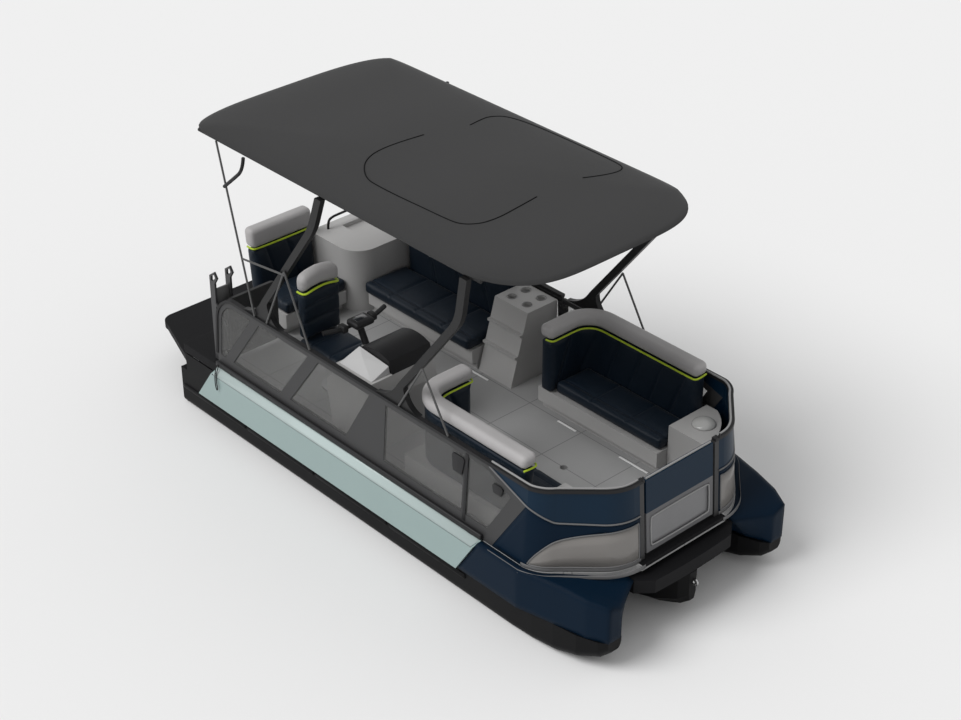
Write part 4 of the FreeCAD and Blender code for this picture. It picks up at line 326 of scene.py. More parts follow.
def sewn_pad(name, low, high, seams, face, coat, body="root", rim=0.022):
    """A foam pad held along its seams, planes (normal, distance), while pressure fills it between them."""
    swell, swell_limit, cell, frames = 4.0, 0.012, 0.014, 12
    turned_away, turned_out = -0.6, 0.3
    seam_reach, seam_depth, seam_width = 0.03, 0.011, 0.011
    core = bmesh.new()
    inner = Vector((swell_limit, swell_limit, swell_limit)) * 0.6
    block(core, Vector(low) + inner, Vector(high) - inner, rim, 3)
    pad = piece(name, core, coat, body)
    voxels = pad.modifiers.new("voxels", "REMESH")
    voxels.mode = "VOXEL"
    voxels.voxel_size = cell
    settle(pad)
    pad.modifiers.clear()
    mesh, face = pad.data, Vector(face)
    start = [vert.co.copy() for vert in mesh.vertices]
    near = [min(abs(Vector(way).dot(vert.co) - far) for way, far in seams) for vert in mesh.vertices]
    outward = [vert.normal.dot(face) for vert in mesh.vertices]
    held = pad.vertex_groups.new(name="held")
    for index, gap in enumerate(near):
        if outward[index] < turned_away or (outward[index] > turned_out and gap < cell * 0.7):
            held.add([index], 1.0, "REPLACE")
    cloth = pad.modifiers.new("foam", "CLOTH")
    cloth.settings.use_pressure = True
    cloth.settings.uniform_pressure_force = swell
    cloth.settings.vertex_group_mass = "held"
    cloth.settings.effector_weights.gravity = 0
    cloth.settings.quality = 4
    for number in range(1, frames + 1):
        bpy.context.scene.frame_set(number)
    settle(pad)
    pad.modifiers.clear()
    bpy.context.scene.frame_set(1)
    mesh = pad.data
    for index, vert in enumerate(mesh.vertices):
        move = vert.co - start[index]
        if move.length > swell_limit:
            vert.co = start[index] + move.normalized() * swell_limit
    for index, vert in enumerate(mesh.vertices):
        if outward[index] > turned_out and near[index] < seam_reach:
            vert.co -= face * seam_depth * math.exp(-(near[index] / seam_width) ** 2)
    pad.vertex_groups.clear()
    for poly in mesh.polygons:
        poly.use_smooth = True
    smooth = pad.modifiers.new("smooth", "SUBSURF")
    smooth.levels = smooth.render_levels = 1
    return pad


def slant_seam(way, far, slope, level):
    """A seam plane at a distance along a way at one level, leaning by a slope with height."""
    return (*way, slope), far + slope * level


def bend(made, route):
    """Move every vertex of a piece by a route function."""
    for vert in made.data.vertices:
        vert.co = route(vert.co)
    return made


def roll(name, low, high, coat, rows, body="root", rim=0.045):
    """A plain padded roll: a box with soft edges, cut into rows along it so that it can bend."""
    core = bmesh.new()
    block(core, low, high, rim, 5)
    long_way = max(range(3), key=lambda axis: high[axis] - low[axis])
    spot, way = (Vector(low) + Vector(high)) / 2, Vector((0, 0, 0))
    way[long_way] = 1
    for row in range(1, rows):
        spot[long_way] = low[long_way] + (high[long_way] - low[long_way]) * row / rows
        everything = core.verts[:] + core.edges[:] + core.faces[:]
        bmesh.ops.bisect_plane(core, geom=everything, plane_co=spot, plane_no=way)
    made = piece(name, core, coat, body)
    return made


def tube(name, points, radius, coat, body="root", closed=False):
    """A round tube or bead that follows a few points in a smooth line."""
    line = bpy.data.curves.new(name, "CURVE")
    line.dimensions = "3D"
    line.bevel_depth = radius
    line.bevel_resolution = 3
    line.resolution_u = 8
    line.use_fill_caps = not closed
    run = line.splines.new("NURBS")
    run.points.add(len(points) - 1)
    for spot, point in zip(run.points, points):
        spot.co = (*point, 1)
    run.order_u = 3
    run.use_endpoint_u = not closed
    run.use_cyclic_u = closed
    drawn = placed(name + "_line", line)
    data = bpy.data.meshes.new_from_object(drawn.evaluated_get(bpy.context.evaluated_depsgraph_get()))
    bpy.data.objects.remove(drawn)
    made = placed(name, data)
    data.materials.clear()
    data.materials.append(coat)
    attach(made, body)
    return made


def mirror_twin(made, name):
    """A copy of a piece on the other side of the boat."""
    twin = placed(name, made.data.copy())
    shape = bmesh.new()
    shape.from_mesh(twin.data)
    bmesh.ops.scale(shape, vec=(1, -1, 1), verts=shape.verts)
    bmesh.ops.reverse_faces(shape, faces=shape.faces)
    shape.to_mesh(twin.data)
    shape.free()
    for old in made.modifiers:
        smooth = twin.modifiers.new(old.name, old.type)
        smooth.levels = smooth.render_levels = 1
    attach(twin, "root")
    return twin


seat_navy = vinyl("seat_navy", (0.0022, 0.0085, 0.018), 0.5)
pad_grey = vinyl("pad_grey", (0.38, 0.37, 0.37), 0.52)
lime = vinyl("lime_piping", (0.42, 0.55, 0.03), 0.5)
bench_low, bench_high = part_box("stern_bench_cushion")
seat_seams = [((0, 1, 0), y) for y in (-0.17, 0.06)] + [((1, 0, 0), bench_high[0] - 0.1)]
bench_seat = sewn_pad("bench_seat", bench_low, bench_high, seat_seams, (0, 0, 1), seat_navy)
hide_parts("stern_bench_cushion")
back_low, back_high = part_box("stern_bench_back")
foot_x, bench_deep, top_gap = -2.15, 0.12, 0.19
lean = (back_low[0] - foot_x) / (back_high[2] - back_low[2])


def bench_lean(spot):
    """Lean a point of the bench's back aft with its height."""
    return Vector((spot[0] + lean * (spot[2] - back_low[2]), spot[1], spot[2]))


back_seams = [slant_seam((0, 1), y, 0.25, 1.15) for y in (-0.2, 0.03)]
bench_back = sewn_pad("bench_back", (foot_x, back_low[1], back_low[2]),
                      (foot_x + bench_deep, back_high[1], back_high[2] - top_gap), back_seams, (1, 0, 0),
                      seat_navy)
bench_roll = roll("bench_roll", (foot_x - 0.004, back_low[1], back_high[2] - top_gap + 0.008),
                  (foot_x + bench_deep + 0.004, back_high[1], back_high[2]), pad_grey, rows=4)
for soft in (bench_back, bench_roll):
    bend(soft, bench_lean)
    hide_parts("stern_bench_back")
pipe_z = back_high[2] - top_gap + 0.004
bench_line = [(foot_x + x, back_low[1] + y) for x, y in ((0.02, 0.01), (0.09, 0.008), (0.122, 0.03))]
bench_line += [(x, back_low[1] + back_high[1] - y) for x, y in bench_line[::-1]]
tube("bench_piping", [bench_lean((x, y, pipe_z)) for x, y in bench_line], 0.009, lime)

# Aft lounge
# A long quilted seat and back in navy vinyl down the port side, its back sewn in slanting panels.
seat_low, seat_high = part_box("aft_lounge_cushion")
quarters = (0.25, 0.5, 0.75)
long_seams = [((1, 0, 0), seat_low[0] + (seat_high[0] - seat_low[0]) * share) for share in quarters]
long_seams.append(((0, 1, 0), seat_low[1] + 0.09))
aft_seat = sewn_pad("aft_seat", seat_low, seat_high, long_seams, (0, 0, 1), seat_navy)
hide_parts("aft_lounge_cushion")
back_low, back_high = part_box("aft_lounge_back")
back_seams = [slant_seam((1, 0), back_low[0] + (back_high[0] - back_low[0]) * share, 0.3, 1.2)
              for share in quarters]
back_seams.append(((0, 0, 1), back_high[2] - 0.12))
aft_back = sewn_pad("aft_back", back_low, (back_high[0], back_high[1] - 0.01, back_high[2]), back_seams,
                    (0, -1, 0), seat_navy, rim=0.035)
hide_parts("aft_lounge_back")

# Bow lounges
# A seat along each side whose quilted back turns inboard round a curved corner, topped by a grey roll.
seat_low, seat_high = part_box("bow_lounge_cushions")
base_low, base_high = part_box("bow_lounge_backs")
seat_inner, back_inner, cross_inner, cross_front = -0.48, 0.88, 0.43, 0.89
bow_seams = [((1, 0, 0), seat_low[0] + (seat_high[0] - seat_low[0]) * share) for share in (0.33, 0.67)]
bow_seams.append(((0, 1, 0), seat_inner - 0.09))
bow_seat = sewn_pad("starboard_bow_seat", seat_low, (seat_high[0], seat_inner, seat_high[2]), bow_seams,
                    (0, 0, 1), seat_navy)
corner, wrap = 0.16, 0.13
cross_run = back_inner - corner - cross_inner
arc_run = corner * math.pi / 2
side_run = base_high[0] - cross_front - corner
whole_run = cross_run + arc_run + side_run


def round_corner(spot):
    """Lead a straight pad outboard along the cross back, round the corner and forward along the side."""
    along, deep, height = spot
    if along < cross_run:
        return Vector((cross_front - deep, -cross_inner - along, height))
    turned = (along - cross_run) / corner
    centre = Vector((cross_front + corner, -(back_inner - corner), 0))
    if turned < math.pi / 2:
        reach = corner + deep
        return centre + Vector((-math.cos(turned) * reach, -math.sin(turned) * reach, height))
    return Vector((centre.x + along - cross_run - arc_run, -(back_inner + deep), height))


roll_low = 1.395
slant = [slant_seam((1, 0), whole_run * share, -0.35, 1.2) for share in (0.12, 0.27, 0.42, 0.58, 0.73, 0.88)]
bow_back = sewn_pad("starboard_bow_back", (0, 0, base_low[2] + 0.002), (whole_run, wrap, roll_low), slant,
                    (0, -1, 0), seat_navy)
bow_roll = roll("starboard_bow_roll", (-0.003, -0.005, roll_low + 0.008),
                (whole_run + 0.003, wrap + 0.012, base_high[2]), pad_grey, rows=60)
for soft in (bow_back, bow_roll):
    bend(soft, round_corner)
pipe = [(0, 0.06), (0.004, -0.006)] + [(whole_run * step / 24, -0.008) for step in range(1, 24)]
pipe += [(whole_run - 0.004, -0.006), (whole_run, 0.06), (whole_run - 0.01, wrap)]
pipe_line = [round_corner((along, deep, roll_low + 0.003)) for along, deep in pipe]
bow_pipe = tube("starboard_bow_piping", pipe_line, 0.0085, lime)
for soft, node_name in ((bow_seat, "bow_lounge_cushions"), (bow_back, "bow_lounge_backs"),
                        (bow_roll, "bow_lounge_backs")):
    twin = mirror_twin(soft, soft.name.replace("starboard", "port"))
    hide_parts(node_name)
    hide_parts(node_name)
mirror_twin(bow_pipe, "port_bow_piping")

# Helm seat
# A swivel seat in navy vinyl with a deep back, a grey head roll and lime piping, on a metal pedestal.
helm_low, helm_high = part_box("helm_seat")
seat_top, back_top, helm_pipe_z, shell_x = 1.09, 1.575, 1.582, helm_low[0]
helm_seams = [((1, 0, 0), helm_high[0] - 0.12), ((1, 0, 0), helm_low[0] + 0.16)]
helm_cushion = sewn_pad("helm_cushion", helm_low, (helm_high[0], helm_high[1], seat_top), helm_seams,
                        (0, 0, 1), seat_navy, "helm_seat", rim=0.04)
helm_back = sewn_pad("helm_back", (shell_x, helm_low[1] + 0.01, seat_top + 0.002),
                     (shell_x + 0.12, helm_high[1] - 0.01, back_top), [((0, 0, 1), 1.28), ((0, 0, 1), 1.43)],
                     (1, 0, 0), seat_navy, "helm_seat", rim=0.03)
head_roll = roll("helm_roll", (shell_x - 0.003, helm_low[1] + 0.012, back_top + 0.013),
                 (shell_x + 0.115, helm_high[1] - 0.012, helm_high[2]), pad_grey, rows=4,
                 body="helm_seat", rim=0.055)
helm_middle, helm_half = (helm_low[1] + helm_high[1]) / 2, (helm_high[1] - helm_low[1]) / 2


def helm_arch(spot):
    """Arch the top of the helm seat's back: its sides sit lower than its middle."""
    side_drop = 0.045
    rise = max(0, (spot[2] - seat_top) / (helm_pipe_z - seat_top))
    return Vector((spot[0], spot[1], spot[2] - side_drop * rise * ((spot[1] - helm_middle) / helm_half) ** 2))


for soft in (helm_back, head_roll):
    bend(soft, helm_arch)
for soft in (helm_cushion, helm_back, head_roll):
    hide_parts("helm_seat")
helm_line = [(shell_x + x, helm_low[1] + y) for x, y in ((0.02, 0.022), (0.085, 0.02), (0.118, 0.045))]
helm_line += [(shell_x + 0.12, helm_middle + share * helm_half) for share in (-0.5, -0.25, 0, 0.25, 0.5)]
helm_line += [(x, 2 * helm_middle - y) for x, y in helm_line[2::-1]]
tube("helm_piping", [helm_arch((x, y, helm_pipe_z)) for x, y in helm_line], 0.01, lime, "helm_seat")

# Bow wall trim
# A pale tube lies on the bow rail and a grey bead parts the navy band from the wall below it.
# Frosted panes in thin grey rims wrap round to the gate posts; grey sills and foot strips run under them.
# Each run of the wall's plan has a first, a middle and a last mark: (x, y, outward x, outward y).
wall_runs = (((1.8, 1.095, 0, 1), (2.01, 1.095, 0, 1), (2.22, 1.095, 0, 1)),
             ((2.22, 1.095, 0, 1), (2.322, 1.048, 0.4, 0.9), (2.392, 0.975, 0.7, 0.7)),
             ((2.392, 0.975, 0.7, 0.7), (2.518, 0.84, 0.725, 0.68), (2.645, 0.705, 0.75, 0.66)),
             ((2.645, 0.705, 0.75, 0.66), (2.706, 0.606, 0.9, 0.4), (2.73, 0.5, 1, 0)),
             ((2.73, 0.5, 1, 0), (2.73, 0.47, 1, 0), (2.73, 0.44, 1, 0)))
rail_height, deck_height, wall_lean = 1.35, 0.66, 0.05
pane_first, pane_last, pane_foot = 1.12, 4.7, 0.7


def lean_out(height):
    """How far a wall stands out at a height: nothing at the rail, most at the deck."""
    return wall_lean * (rail_height - height) / (rail_height - deck_height)


def wall_point(place, height, out=0.0):
    """A point on the starboard bow wall at a height; its place counts the runs from the fence to the gate."""
    number = min(int(place), len(wall_runs) - 1)
    part = place - number
    shares = (1 - part) * (1 - 2 * part), 4 * part * (1 - part), part * (2 * part - 1)
    marks = zip(*wall_runs[number])
    x, y, x_out, y_out = (sum(share * value for share, value in zip(shares, values)) for values in marks)
    reach = lean_out(height) + out
    return Vector((x + reach * x_out, -(y + reach * y_out), height))


def band_height(place):
    """The height of the navy band's lower edge: it falls along the fence, then runs level round the bow."""
    levels = (1.343, 1.199, 1.09, 1.075, 1.071, 1.071)
    number = min(int(place), len(levels) - 2)
    return levels[number] + (levels[number + 1] - levels[number]) * (place - number)


def pane_height(place):
    """The height of the frosted pane's upper edge: it sweeps up from a point and flattens round the bow."""
    point_height, sweep_rise, sweep_run = 0.705, 0.315, 0.7
    return point_height + sweep_rise * (1 - math.exp(-(place - pane_first) / sweep_run))


def wall_strip(name, coat, first, last, low_edge, high_edge, out):
    """A thin strip on both bow walls between two edges, each a height for every place."""
    steps, rows = 36, 3
    shape = bmesh.new()
    columns = []
    for step in range(steps + 1):
        place = first + (last - first) * step / steps
        low_z, high_z = low_edge(place), high_edge(place)
        levels = [low_z + (high_z - low_z) * row / rows for row in range(rows + 1)]
        columns.append([shape.verts.new(wall_point(place, level, out)) for level in levels])
    for one, two in zip(columns, columns[1:]):
        for row in range(rows):
            shape.faces.new((one[row], two[row], two[row + 1], one[row + 1]))
    both_sides(shape)
    thicken(piece(name, shape, coat), "shell", 0.003)


trim_pale = moulded("trim_pale", (0.27, 0.27, 0.27), 0.4, grain=240, depth=0.05, blotch=0.05)
trim_mid = moulded("trim_mid", (0.13, 0.13, 0.132), 0.45, grain=240, depth=0.08, blotch=0.05)
pane_frosted = moulded("pane_frosted", (0.2, 0.19, 0.18), 0.35, grain=30, depth=0.02, blotch=0.1, gloss=0.2)
tube_radius, bead_radius, rim_radius = 0.009, 0.007, 0.006
tube_z, tube_inset, gate_tube_x = 1.379, -0.02, 2.712
wall_places = [step / 5 for step in range(26)]
bow_tube = tube("starboard_bow_tube", [wall_point(place, tube_z, tube_inset) for place in wall_places],
                tube_radius, trim_pale)
mirror_twin(bow_tube, "port_bow_tube")
gate_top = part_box("bow_gate_band")[1][2]
gate_line = [(gate_tube_x, y, gate_top + 0.006) for y in (-0.36, -0.12, 0.12, 0.36)]
tube("gate_tube", gate_line, tube_radius, trim_pale, "bow_gate")
bead_line = [wall_point(place, band_height(place), 0.004) for place in wall_places]
band_bead = tube("starboard_band_bead", bead_line, bead_radius, trim_mid)
mirror_twin(band_bead, "port_band_bead")
wall_strip("bow_panes", pane_frosted, pane_first, pane_last, lambda place: pane_foot, pane_height, 0.004)
wall_strip("bow_pane_sills", trim_mid, 0.95, 5, lambda place: deck_height + 0.002,
           lambda place: pane_foot - 0.008, 0.006)
wall_strip("bow_foot_strips", trim_mid, 0.2, 5, lambda place: deck_height - 0.03,
           lambda place: deck_height + 0.001, 0.055)
pane_steps = 18
pane_places = [pane_first + (pane_last - pane_first) * step / pane_steps for step in range(pane_steps + 1)]
rim = [wall_point(place, pane_foot, rim_radius) for place in pane_places]
rim += [wall_point(place, pane_height(place), rim_radius) for place in pane_places[:0:-1]]
pane_rim = tube("starboard_pane_rim", rim, rim_radius, trim_mid, closed=True)
mirror_twin(pane_rim, "port_pane_rim")
pins = bmesh.new()
pin_x, pin_y = 2.745, -0.425
for height, reach, half in ((1.376, 0.045, 0.007), (0.74, 0.2, 0.006)):
    block(pins, (pin_x - half, pin_y - half, height), (pin_x + half, pin_y + half, height + reach),
          half * 0.8, 3)
both_sides(pins)
piece("post_pins", pins, rail_dark)
plate_x, corner_reach = 2.734, 0.02
(plate_left, plate_foot), (plate_right, plate_top) = (corner[1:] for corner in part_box("bow_gate_panel"))
plate_run = [(plate_x + lean_out(z), y, z) for y, z in (
    (plate_left, plate_foot), (plate_right, plate_foot), (plate_right, plate_top), (plate_left, plate_top))]
corners = []
for before, spot, after in zip(plate_run[-1:] + plate_run, plate_run, plate_run[1:] + plate_run[:1]):
    for other in (before, after):
        corners.append(Vector(spot) + (Vector(other) - Vector(spot)).normalized() * corner_reach)
tube("gate_plate_rim", corners, rim_radius, trim_pale, "bow_gate", closed=True)

# Deck fittings
# Black rubber treads over the bow sill and in the boarding aisle, and black skirts at the deck's aft corners.
# Short white strips mark the feet of the seat bases.
treads = bmesh.new()
sill_x, sill_half = 2.7, 0.47
aisle_x, aisle_inner, aisle_outer = -1.69, -0.42, -1.1
skirt_x, skirt_inner, skirt_outer, skirt_foot = -1.662, 1.09, 1.152, 0.575
block(treads, (sill_x, -sill_half, deck_height - 0.03),
      (deck_high[0] + 0.004, sill_half, deck_height + 0.004), 0.003)
block(treads, (deck_low[0] - 0.004, aisle_outer, deck_height - 0.02),
      (aisle_x, aisle_inner, deck_height + 0.005), 0.003)
for y, far_y in ((-skirt_outer, -skirt_inner), (skirt_inner, skirt_outer)):
    block(treads, (deck_low[0] - 0.006, y, skirt_foot), (skirt_x, far_y, deck_height + 0.005), 0.004)
piece("treads", treads, pad_black, smooth=False)
strips = bmesh.new()
strip_foot, strip_top = deck_height + 0.001, deck_height + 0.006
for x, far_x, y in ((-0.14, 0.12, 0.43), (0.98, 1.2, 0.435), (1.7, 2.02, 0.435)):
    block(strips, (x, y - 0.006, strip_foot), (far_x, y + 0.016, strip_top), 0.002, 1)
strip_white = moulded("strip_white", (0.85, 0.85, 0.85), 0.3, grain=60, depth=0.02, blotch=0.03)
piece("foot_strips", strips, strip_white)

# Fence fittings
# A dark joint strip and two bare latch plates screwed to the starboard fence.
# A wire bail for mooring hangs at its aft foot, and small black pads lie on the deck beside the bow walls.


def fence_plate(shape, outline, thick):
    """Add a plate to a bmesh: an outline of (x, z) laid on the leaning starboard fence."""
    rail_y, gap = 1.095, 0.001
    layers = []
    for reach in (gap, gap + thick):
        layers.append([shape.verts.new((x, -(rail_y + lean_out(z)) - reach, z)) for x, z in outline])
    shape.faces.new(layers[0])
    shape.faces.new(layers[1][::-1])
    for index in range(len(outline)):
        after = (index + 1) % len(outline)
        shape.faces.new((layers[0][index], layers[1][index], layers[1][after], layers[0][after]))


plates = bmesh.new()
joint_aft, joint_front, joint_foot, joint_top = 1.53, 1.566, 0.73, 1.33
fence_plate(plates, [(joint_aft, joint_foot), (joint_front, joint_foot), (joint_front, joint_top),
                     (joint_aft, joint_top)], 0.004)
chamfer, latch_thick = 0.02, 0.012
for middle, high, low, half in ((1.458, 1.279, 1.125, 0.072), (1.906, 1.229, 1.151, 0.06)):
    fence_plate(plates, [(middle - half, high - chamfer), (middle - half + chamfer, high),
                         (middle + half - chamfer, high), (middle + half, high - chamfer),
                         (middle + half * 0.7, low), (middle - half * 0.7, low)], latch_thick)
soften(plates, plates.edges[:], 0.0015)
piece("fence_plates", plates, sill_black)
bail = [(-1.632, -1.18, 0.7), (-1.625, -1.214, 0.64), (-1.604, -1.236, 0.56), (-1.592, -1.238, 0.5),
        (-1.578, -1.238, 0.478), (-1.566, -1.238, 0.5), (-1.582, -1.236, 0.56), (-1.602, -1.214, 0.64),
        (-1.61, -1.18, 0.7)]
tube("mooring_bail", bail, 0.0045, rail_dark, closed=True)
pads = bmesh.new()
pad_aft, pad_front, pad_half, pad_foot, pad_top = 2.44, 2.5, 0.014, 0.655, 0.672
for y in (-0.93, 0.93):
    block(pads, (pad_aft, y - pad_half, pad_foot), (pad_front, y + pad_half, pad_top), 0.005)
piece("bow_pads", pads, rail_dark)

# Stern fittings
# Two tube braces and a speckled guard between the boarding posts, and a grab rail on the aft corner tray.
tube("post_brace", [(-1.742, -1.08, 1.27), (-1.64, -1.083, 1.17), (-1.56, -1.086, 1.09)], 0.011, post_dark)
tube("post_brace_low", [(-1.742, -1.085, 0.94), (-1.7, -1.1, 0.84), (-1.66, -1.115, 0.76)], 0.01, post_dark)
guard = bmesh.new()
block(guard, (-1.752, -1.068, 1.2), (-1.732, -0.928, 1.37), 0.006)
piece("post_guard", guard, moulded("speckled", (0.16, 0.16, 0.16), 0.6, grain=900, depth=0.4, blotch=0.3))
rail_x, rail_middle = -2.06, 0.7
rail_half = [(-0.26, 1.285), (-0.26, 1.36), (-0.22, 1.395), (-0.1, 1.4)]
rail_line = [(rail_x, rail_middle + y, z) for y, z in rail_half]
rail_line += [(rail_x, rail_middle - y, z) for y, z in rail_half[::-1]]
tube("grab_rail", rail_line, 0.012, rail_dark)

# Furniture fittings
# Clear domes cover the bow trays' wells; pale rings line the cabinet's drink recesses.
dome_clear = moulded("dome_clear", (0.45, 0.45, 0.44), 0.2, grain=60, depth=0.02, blotch=0.05, gloss=0.4)
well_x, well_y, dome_radius, dome_flatness, tray_top = 2.27, -0.8, 0.1, 0.45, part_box("bow_trays")[1][2]
domes = bmesh.new()
bmesh.ops.create_uvsphere(domes, u_segments=32, v_segments=16, radius=dome_radius)
everything = domes.verts[:] + domes.edges[:] + domes.faces[:]
bmesh.ops.bisect_plane(domes, geom=everything, plane_co=(0, 0, 0), plane_no=(0, 0, -1), clear_outer=True)
bmesh.ops.remove_doubles(domes, verts=domes.verts[:], dist=0.0001)
bmesh.ops.holes_fill(domes, edges=domes.edges[:])
for vert in domes.verts:
    vert.co = Vector((well_x + vert.co.x, well_y + vert.co.y, tray_top + 0.001 + vert.co.z * dome_flatness))
both_sides(domes)
piece("tray_domes", domes, dome_clear)
cabinet_high, ring_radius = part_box("port_cabinet")[1][2], 0.044
for number, (x, y) in enumerate(((0.051, 0.779), (0.239, 0.779), (0.051, 0.947), (0.239, 0.947))):
    turns = [turn * math.pi / 6 for turn in range(12)]
    ring = [(x + ring_radius * math.cos(turn), y + ring_radius * math.sin(turn), cabinet_high + 0.002)
            for turn in turns]
    tube(f"cup_ring_{number}", ring, 0.004, trim_pale, closed=True)

# Helm fittings
# Rubber grips, a gauge pod with its screen and two switch pods on the bar.
# A light grey faceted cowl slopes from the hood to the fence; its paler grey is partly its own colour and
# partly a painted highlight on its facets.
bar_x, bar_y, bar_z = -0.4, -0.56, 1.42
bar_half, bar_sweep, grip_radius = 0.165, 0.06, 0.021
for name, way in (("starboard_grip", -1), ("port_grip", 1)):
    grip = [(bar_x - bar_sweep * share, bar_y + way * bar_half * (1 + share), bar_z)
            for share in (0.3, 0.65, 1.03)]
    tube(name, grip, grip_radius, sill_black, "handlebar")
pod = bmesh.new()
block(pod, (bar_x - 0.05, bar_y - 0.1, bar_z - 0.005), (bar_x + 0.1, bar_y + 0.1, bar_z + 0.055), 0.024, 4)
for near, far in ((-0.185, -0.125), (0.125, 0.185)):
    block(pod, (bar_x - 0.055, bar_y + near, bar_z - 0.032), (bar_x + 0.03, bar_y + far, bar_z + 0.034),
          0.016, 4)
piece("gauge_pod", pod, sill_black, "handlebar")
screen = bmesh.new()
block(screen, (bar_x - 0.02, bar_y - 0.06, bar_z + 0.053), (bar_x + 0.05, bar_y + 0.06, bar_z + 0.058),
      0.002, 1)
screen_glass = moulded("screen_glass", (0.02, 0.022, 0.025), 0.15, grain=40, depth=0.01, gloss=0.6, shine=0.6)
piece("gauge_screen", screen, screen_glass, "handlebar")
cowl = bmesh.new()
cowl_aft, cowl_front, cowl_inner, cowl_outer, cowl_foot = -0.13, 0.28, -0.795, -0.99, 1.331
foot = [cowl.verts.new((x, y, cowl_foot)) for x, y in (
    (cowl_aft, cowl_inner), (cowl_front, cowl_inner), (cowl_front, cowl_outer), (cowl_aft, cowl_outer))]
ridge = [cowl.verts.new(spot) for spot in ((-0.1, -0.797, 1.425), (0.27, -0.797, 1.4))]
middle = cowl.verts.new((0.02, -0.87, 1.4))
for corners in ((foot[0], foot[1], ridge[1], ridge[0]), (foot[1], foot[2], ridge[1]),
                (foot[2], middle, ridge[1]), (ridge[0], ridge[1], middle), (foot[2], foot[3], middle),
                (foot[3], ridge[0], middle), (foot[3], foot[0], ridge[0]),
                (foot[3], foot[2], foot[1], foot[0])):
    cowl.faces.new(corners)
soften(cowl, cowl.edges[:], 0.004)
# Partly painted highlight: the cowl is painted paler than the console's own grey.
cowl_grey_highlight = moulded("cowl_grey_highlight", (0.5, 0.5, 0.5), 0.3, grain=240, depth=0.05, blotch=0.05, shine=0.5)
piece("helm_cowl", cowl, cowl_grey_highlight, smooth=False)

# Canopy
# One stretched panel of charcoal woven acrylic with a hem all round and two sewn loops on top.
# Black bent arms and thin grey struts carry its tube frame; a cross tube joins the aft struts of each side.
top_low, top_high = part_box("canopy")
aft_inset, aft_bow, front_draw, edge_round = 0.02, 0.14, 0.4, 20
crown_gap, rim_drop, edge_drop, rib_height = 0.006, 0.038, 0.03, 0.004


def canopy_ends(across):
    """The aft and front ends of the canopy's top on a line along the boat, for a share across it."""
    return top_low[0] + aft_inset + aft_bow * across ** 4, top_high[0] - front_draw * abs(across) ** 5


def canopy_height(along, across):
    """The height of the crowned top for two shares from -1 to 1, soft ribs over the cross tubes included."""
    rim = max(abs(along), abs(across))
    ribs = rib_height * math.cos(math.pi * 3 * (along + 1)) * (1 - rim ** 4)
    return top_high[2] - crown_gap - rim_drop * rim ** 2 - edge_drop * rim ** 10 + ribs


def canopy_point(along, across):
    """A point of the canopy's top for two shares from -1 to 1, drawn in at its corners."""
    biggest = max(abs(along), abs(across))
    if biggest:
        shares = (abs(along) / biggest) ** edge_round + (abs(across) / biggest) ** edge_round
        along, across = along / shares ** (1 / edge_round), across / shares ** (1 / edge_round)
    aft, front = canopy_ends(across)
    return Vector((aft + (front - aft) * (along + 1) / 2, top_high[1] * across, canopy_height(along, across)))


def on_canopy(x, y):
    """The point of the canopy's top above a place on the boat."""
    aft, front = canopy_ends(y / top_high[1])
    return Vector((x, y, canopy_height((x - aft) / (front - aft) * 2 - 1, y / top_high[1]) + 0.001))


weave = moulded("canopy_weave", (0.037, 0.037, 0.0375), 0.9, grain=700, depth=0.5, blotch=0.05, shine=0.1)
weave.node_tree.nodes["Principled BSDF"].inputs["Sheen Weight"].default_value = 0.1
cover = bmesh.new()
bmesh.ops.create_grid(cover, x_segments=72, y_segments=44, size=1)
for vert in cover.verts:
    vert.co = canopy_point(vert.co.x, vert.co.y)
border = [edge for edge in cover.edges if edge.is_boundary]
cloth_thick, hem_rows = 0.003, ((0.012, 0.003), (0.034, 0.0), (0.0, 0.004))
for drop, draw in hem_rows:
    skirt = bmesh.ops.extrude_edge_only(cover, edges=border)["geom"]
    lower = [part for part in skirt if isinstance(part, bmesh.types.BMVert)]
    for vert in lower:
        vert.co.z = max(top_low[2], vert.co.z - drop)
        vert.co.x *= 1 + draw * 0.3
        vert.co.y *= 1 + draw
    border = [part for part in skirt if isinstance(part, bmesh.types.BMEdge) and part.is_boundary]
bmesh.ops.remove_doubles(cover, verts=cover.verts[:], dist=0.0001)
canopy = piece("canopy_cover", cover, weave)
thicken(canopy, "cloth", cloth_thick)
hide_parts("canopy")
seam_radius = 0.005
seam_black = moulded("seam_black", (0.006, 0.006, 0.0065), 0.8, grain=600, shine=0.1)
seam_routes = {
    "starboard_seam": ((-0.34, 0.14), (-0.37, -0.09), (-0.37, -0.32), (-0.33, -0.46), (-0.24, -0.58),
                       (-0.07, -0.69), (0.1, -0.7), (0.35, -0.7), (0.6, -0.69), (0.84, -0.68), (0.99, -0.66),
                       (1.09, -0.55), (1.11, -0.4), (1.1, -0.25), (1.06, 0.07)),
    "port_seam": ((-0.24, 0.56), (-0.27, 0.72), (-0.27, 0.81), (-0.2, 0.94), (0.06, 1.0), (0.4, 1.01),
                  (0.73, 1.01), (1.05, 1.0), (1.12, 0.96), (1.16, 0.87), (1.13, 0.7), (1.07, 0.56))}
for name, route in seam_routes.items():
    tube(name, [on_canopy(x, y) for x, y in route], seam_radius, seam_black)
arm_black = moulded("arm_black", (0.01, 0.01, 0.0105), 0.4, grain=300, depth=0.08, shine=0.25)
dress(arm_black, "canopy_frame", "aft_arms", "front_arms")
strut_grey = moulded("strut_grey", (0.07, 0.07, 0.07), 0.4, grain=300, depth=0.08, shine=0.4)
dress(strut_grey, "canopy_struts")
strut_y, cross_radius, branch_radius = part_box("canopy_struts")[0][1] + 0.012, 0.009, 0.015
cross_line = [(-1.25, strut_y, 1.886), (-0.66, strut_y, 1.97)]
cross = tube("starboard_cross_tube", cross_line, cross_radius, strut_grey)
mirror_twin(cross, "port_cross_tube")
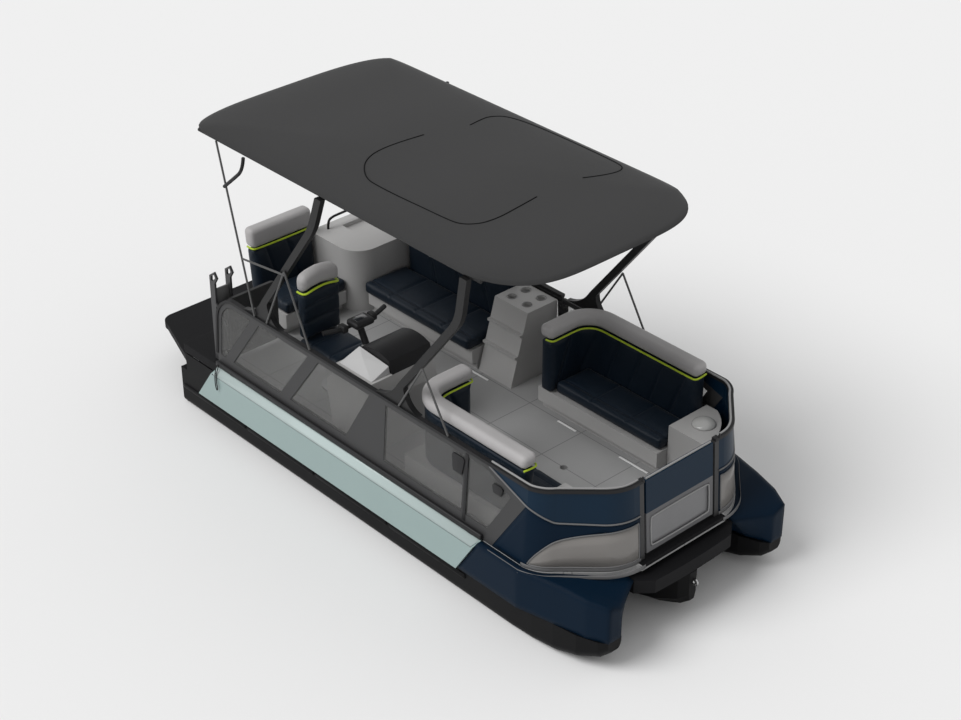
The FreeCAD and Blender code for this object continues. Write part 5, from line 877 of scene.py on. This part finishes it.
branch_line = [(x, strut_y, z) for x, z in ((-1.427, 2.492), (-1.28, 2.62), (-1.15, 2.74), (-1.13, 2.86))]
branch = tube("starboard_branch", branch_line, branch_radius, rail_dark)
mirror_twin(branch, "port_branch")

# Camera
# It stands off the starboard bow and looks down on the boat, as in the picture.
sensor_mm, lens_mm, camera_spot = 36, 74.45, (10.812, -9.443, 9.947)
turn, dip = math.radians(47.526), math.radians(31.944)
camera = placed("camera", bpy.data.cameras.new("camera"))
camera.data.sensor_width = sensor_mm
camera.data.lens = lens_mm
back = Vector((math.sin(turn) * math.cos(dip), -math.cos(turn) * math.cos(dip), math.sin(dip)))
camera.location = camera_spot
camera.rotation_euler = back.to_track_quat("Z", "Y").to_euler()
bpy.context.scene.camera = camera

# Studio
# A pale seamless floor, a soft key light high on the left and a pale world that fills the shadows.
# The camera sees the world at full strength, the boat is lit by less of it.
backdrop, fill_strength, seen_extra, floor_half = (0.86, 0.86, 0.86, 1), 0.7, 0.3, 60
key_strength, key_size, key_tilt, key_turn = 2.0, 0.6, math.radians(40), math.radians(-20)
world = bpy.data.worlds.new("studio")
world.use_nodes = True
bpy.context.scene.world = world
sky = world.node_tree
sky.nodes["Background"].inputs["Color"].default_value = backdrop
seen, strength = sky.nodes.new("ShaderNodeLightPath"), sky.nodes.new("ShaderNodeMath")
strength.operation = "MULTIPLY_ADD"
strength.inputs[1].default_value, strength.inputs[2].default_value = seen_extra, fill_strength
sky.links.new(seen.outputs["Is Camera Ray"], strength.inputs[0])
sky.links.new(strength.outputs["Value"], sky.nodes["Background"].inputs["Strength"])
floor = bmesh.new()
bmesh.ops.create_grid(floor, x_segments=1, y_segments=1, size=floor_half)
floor_data = bpy.data.meshes.new("floor")
floor.to_mesh(floor_data)
floor.free()
floor_piece = placed("floor", floor_data)
lamp = placed("key", bpy.data.lights.new("key", "SUN"))
lamp.data.energy = key_strength
lamp.data.angle = key_size
lamp.rotation_euler = (key_tilt, 0, key_turn)
bpy.context.scene.view_settings.view_transform = "Standard"
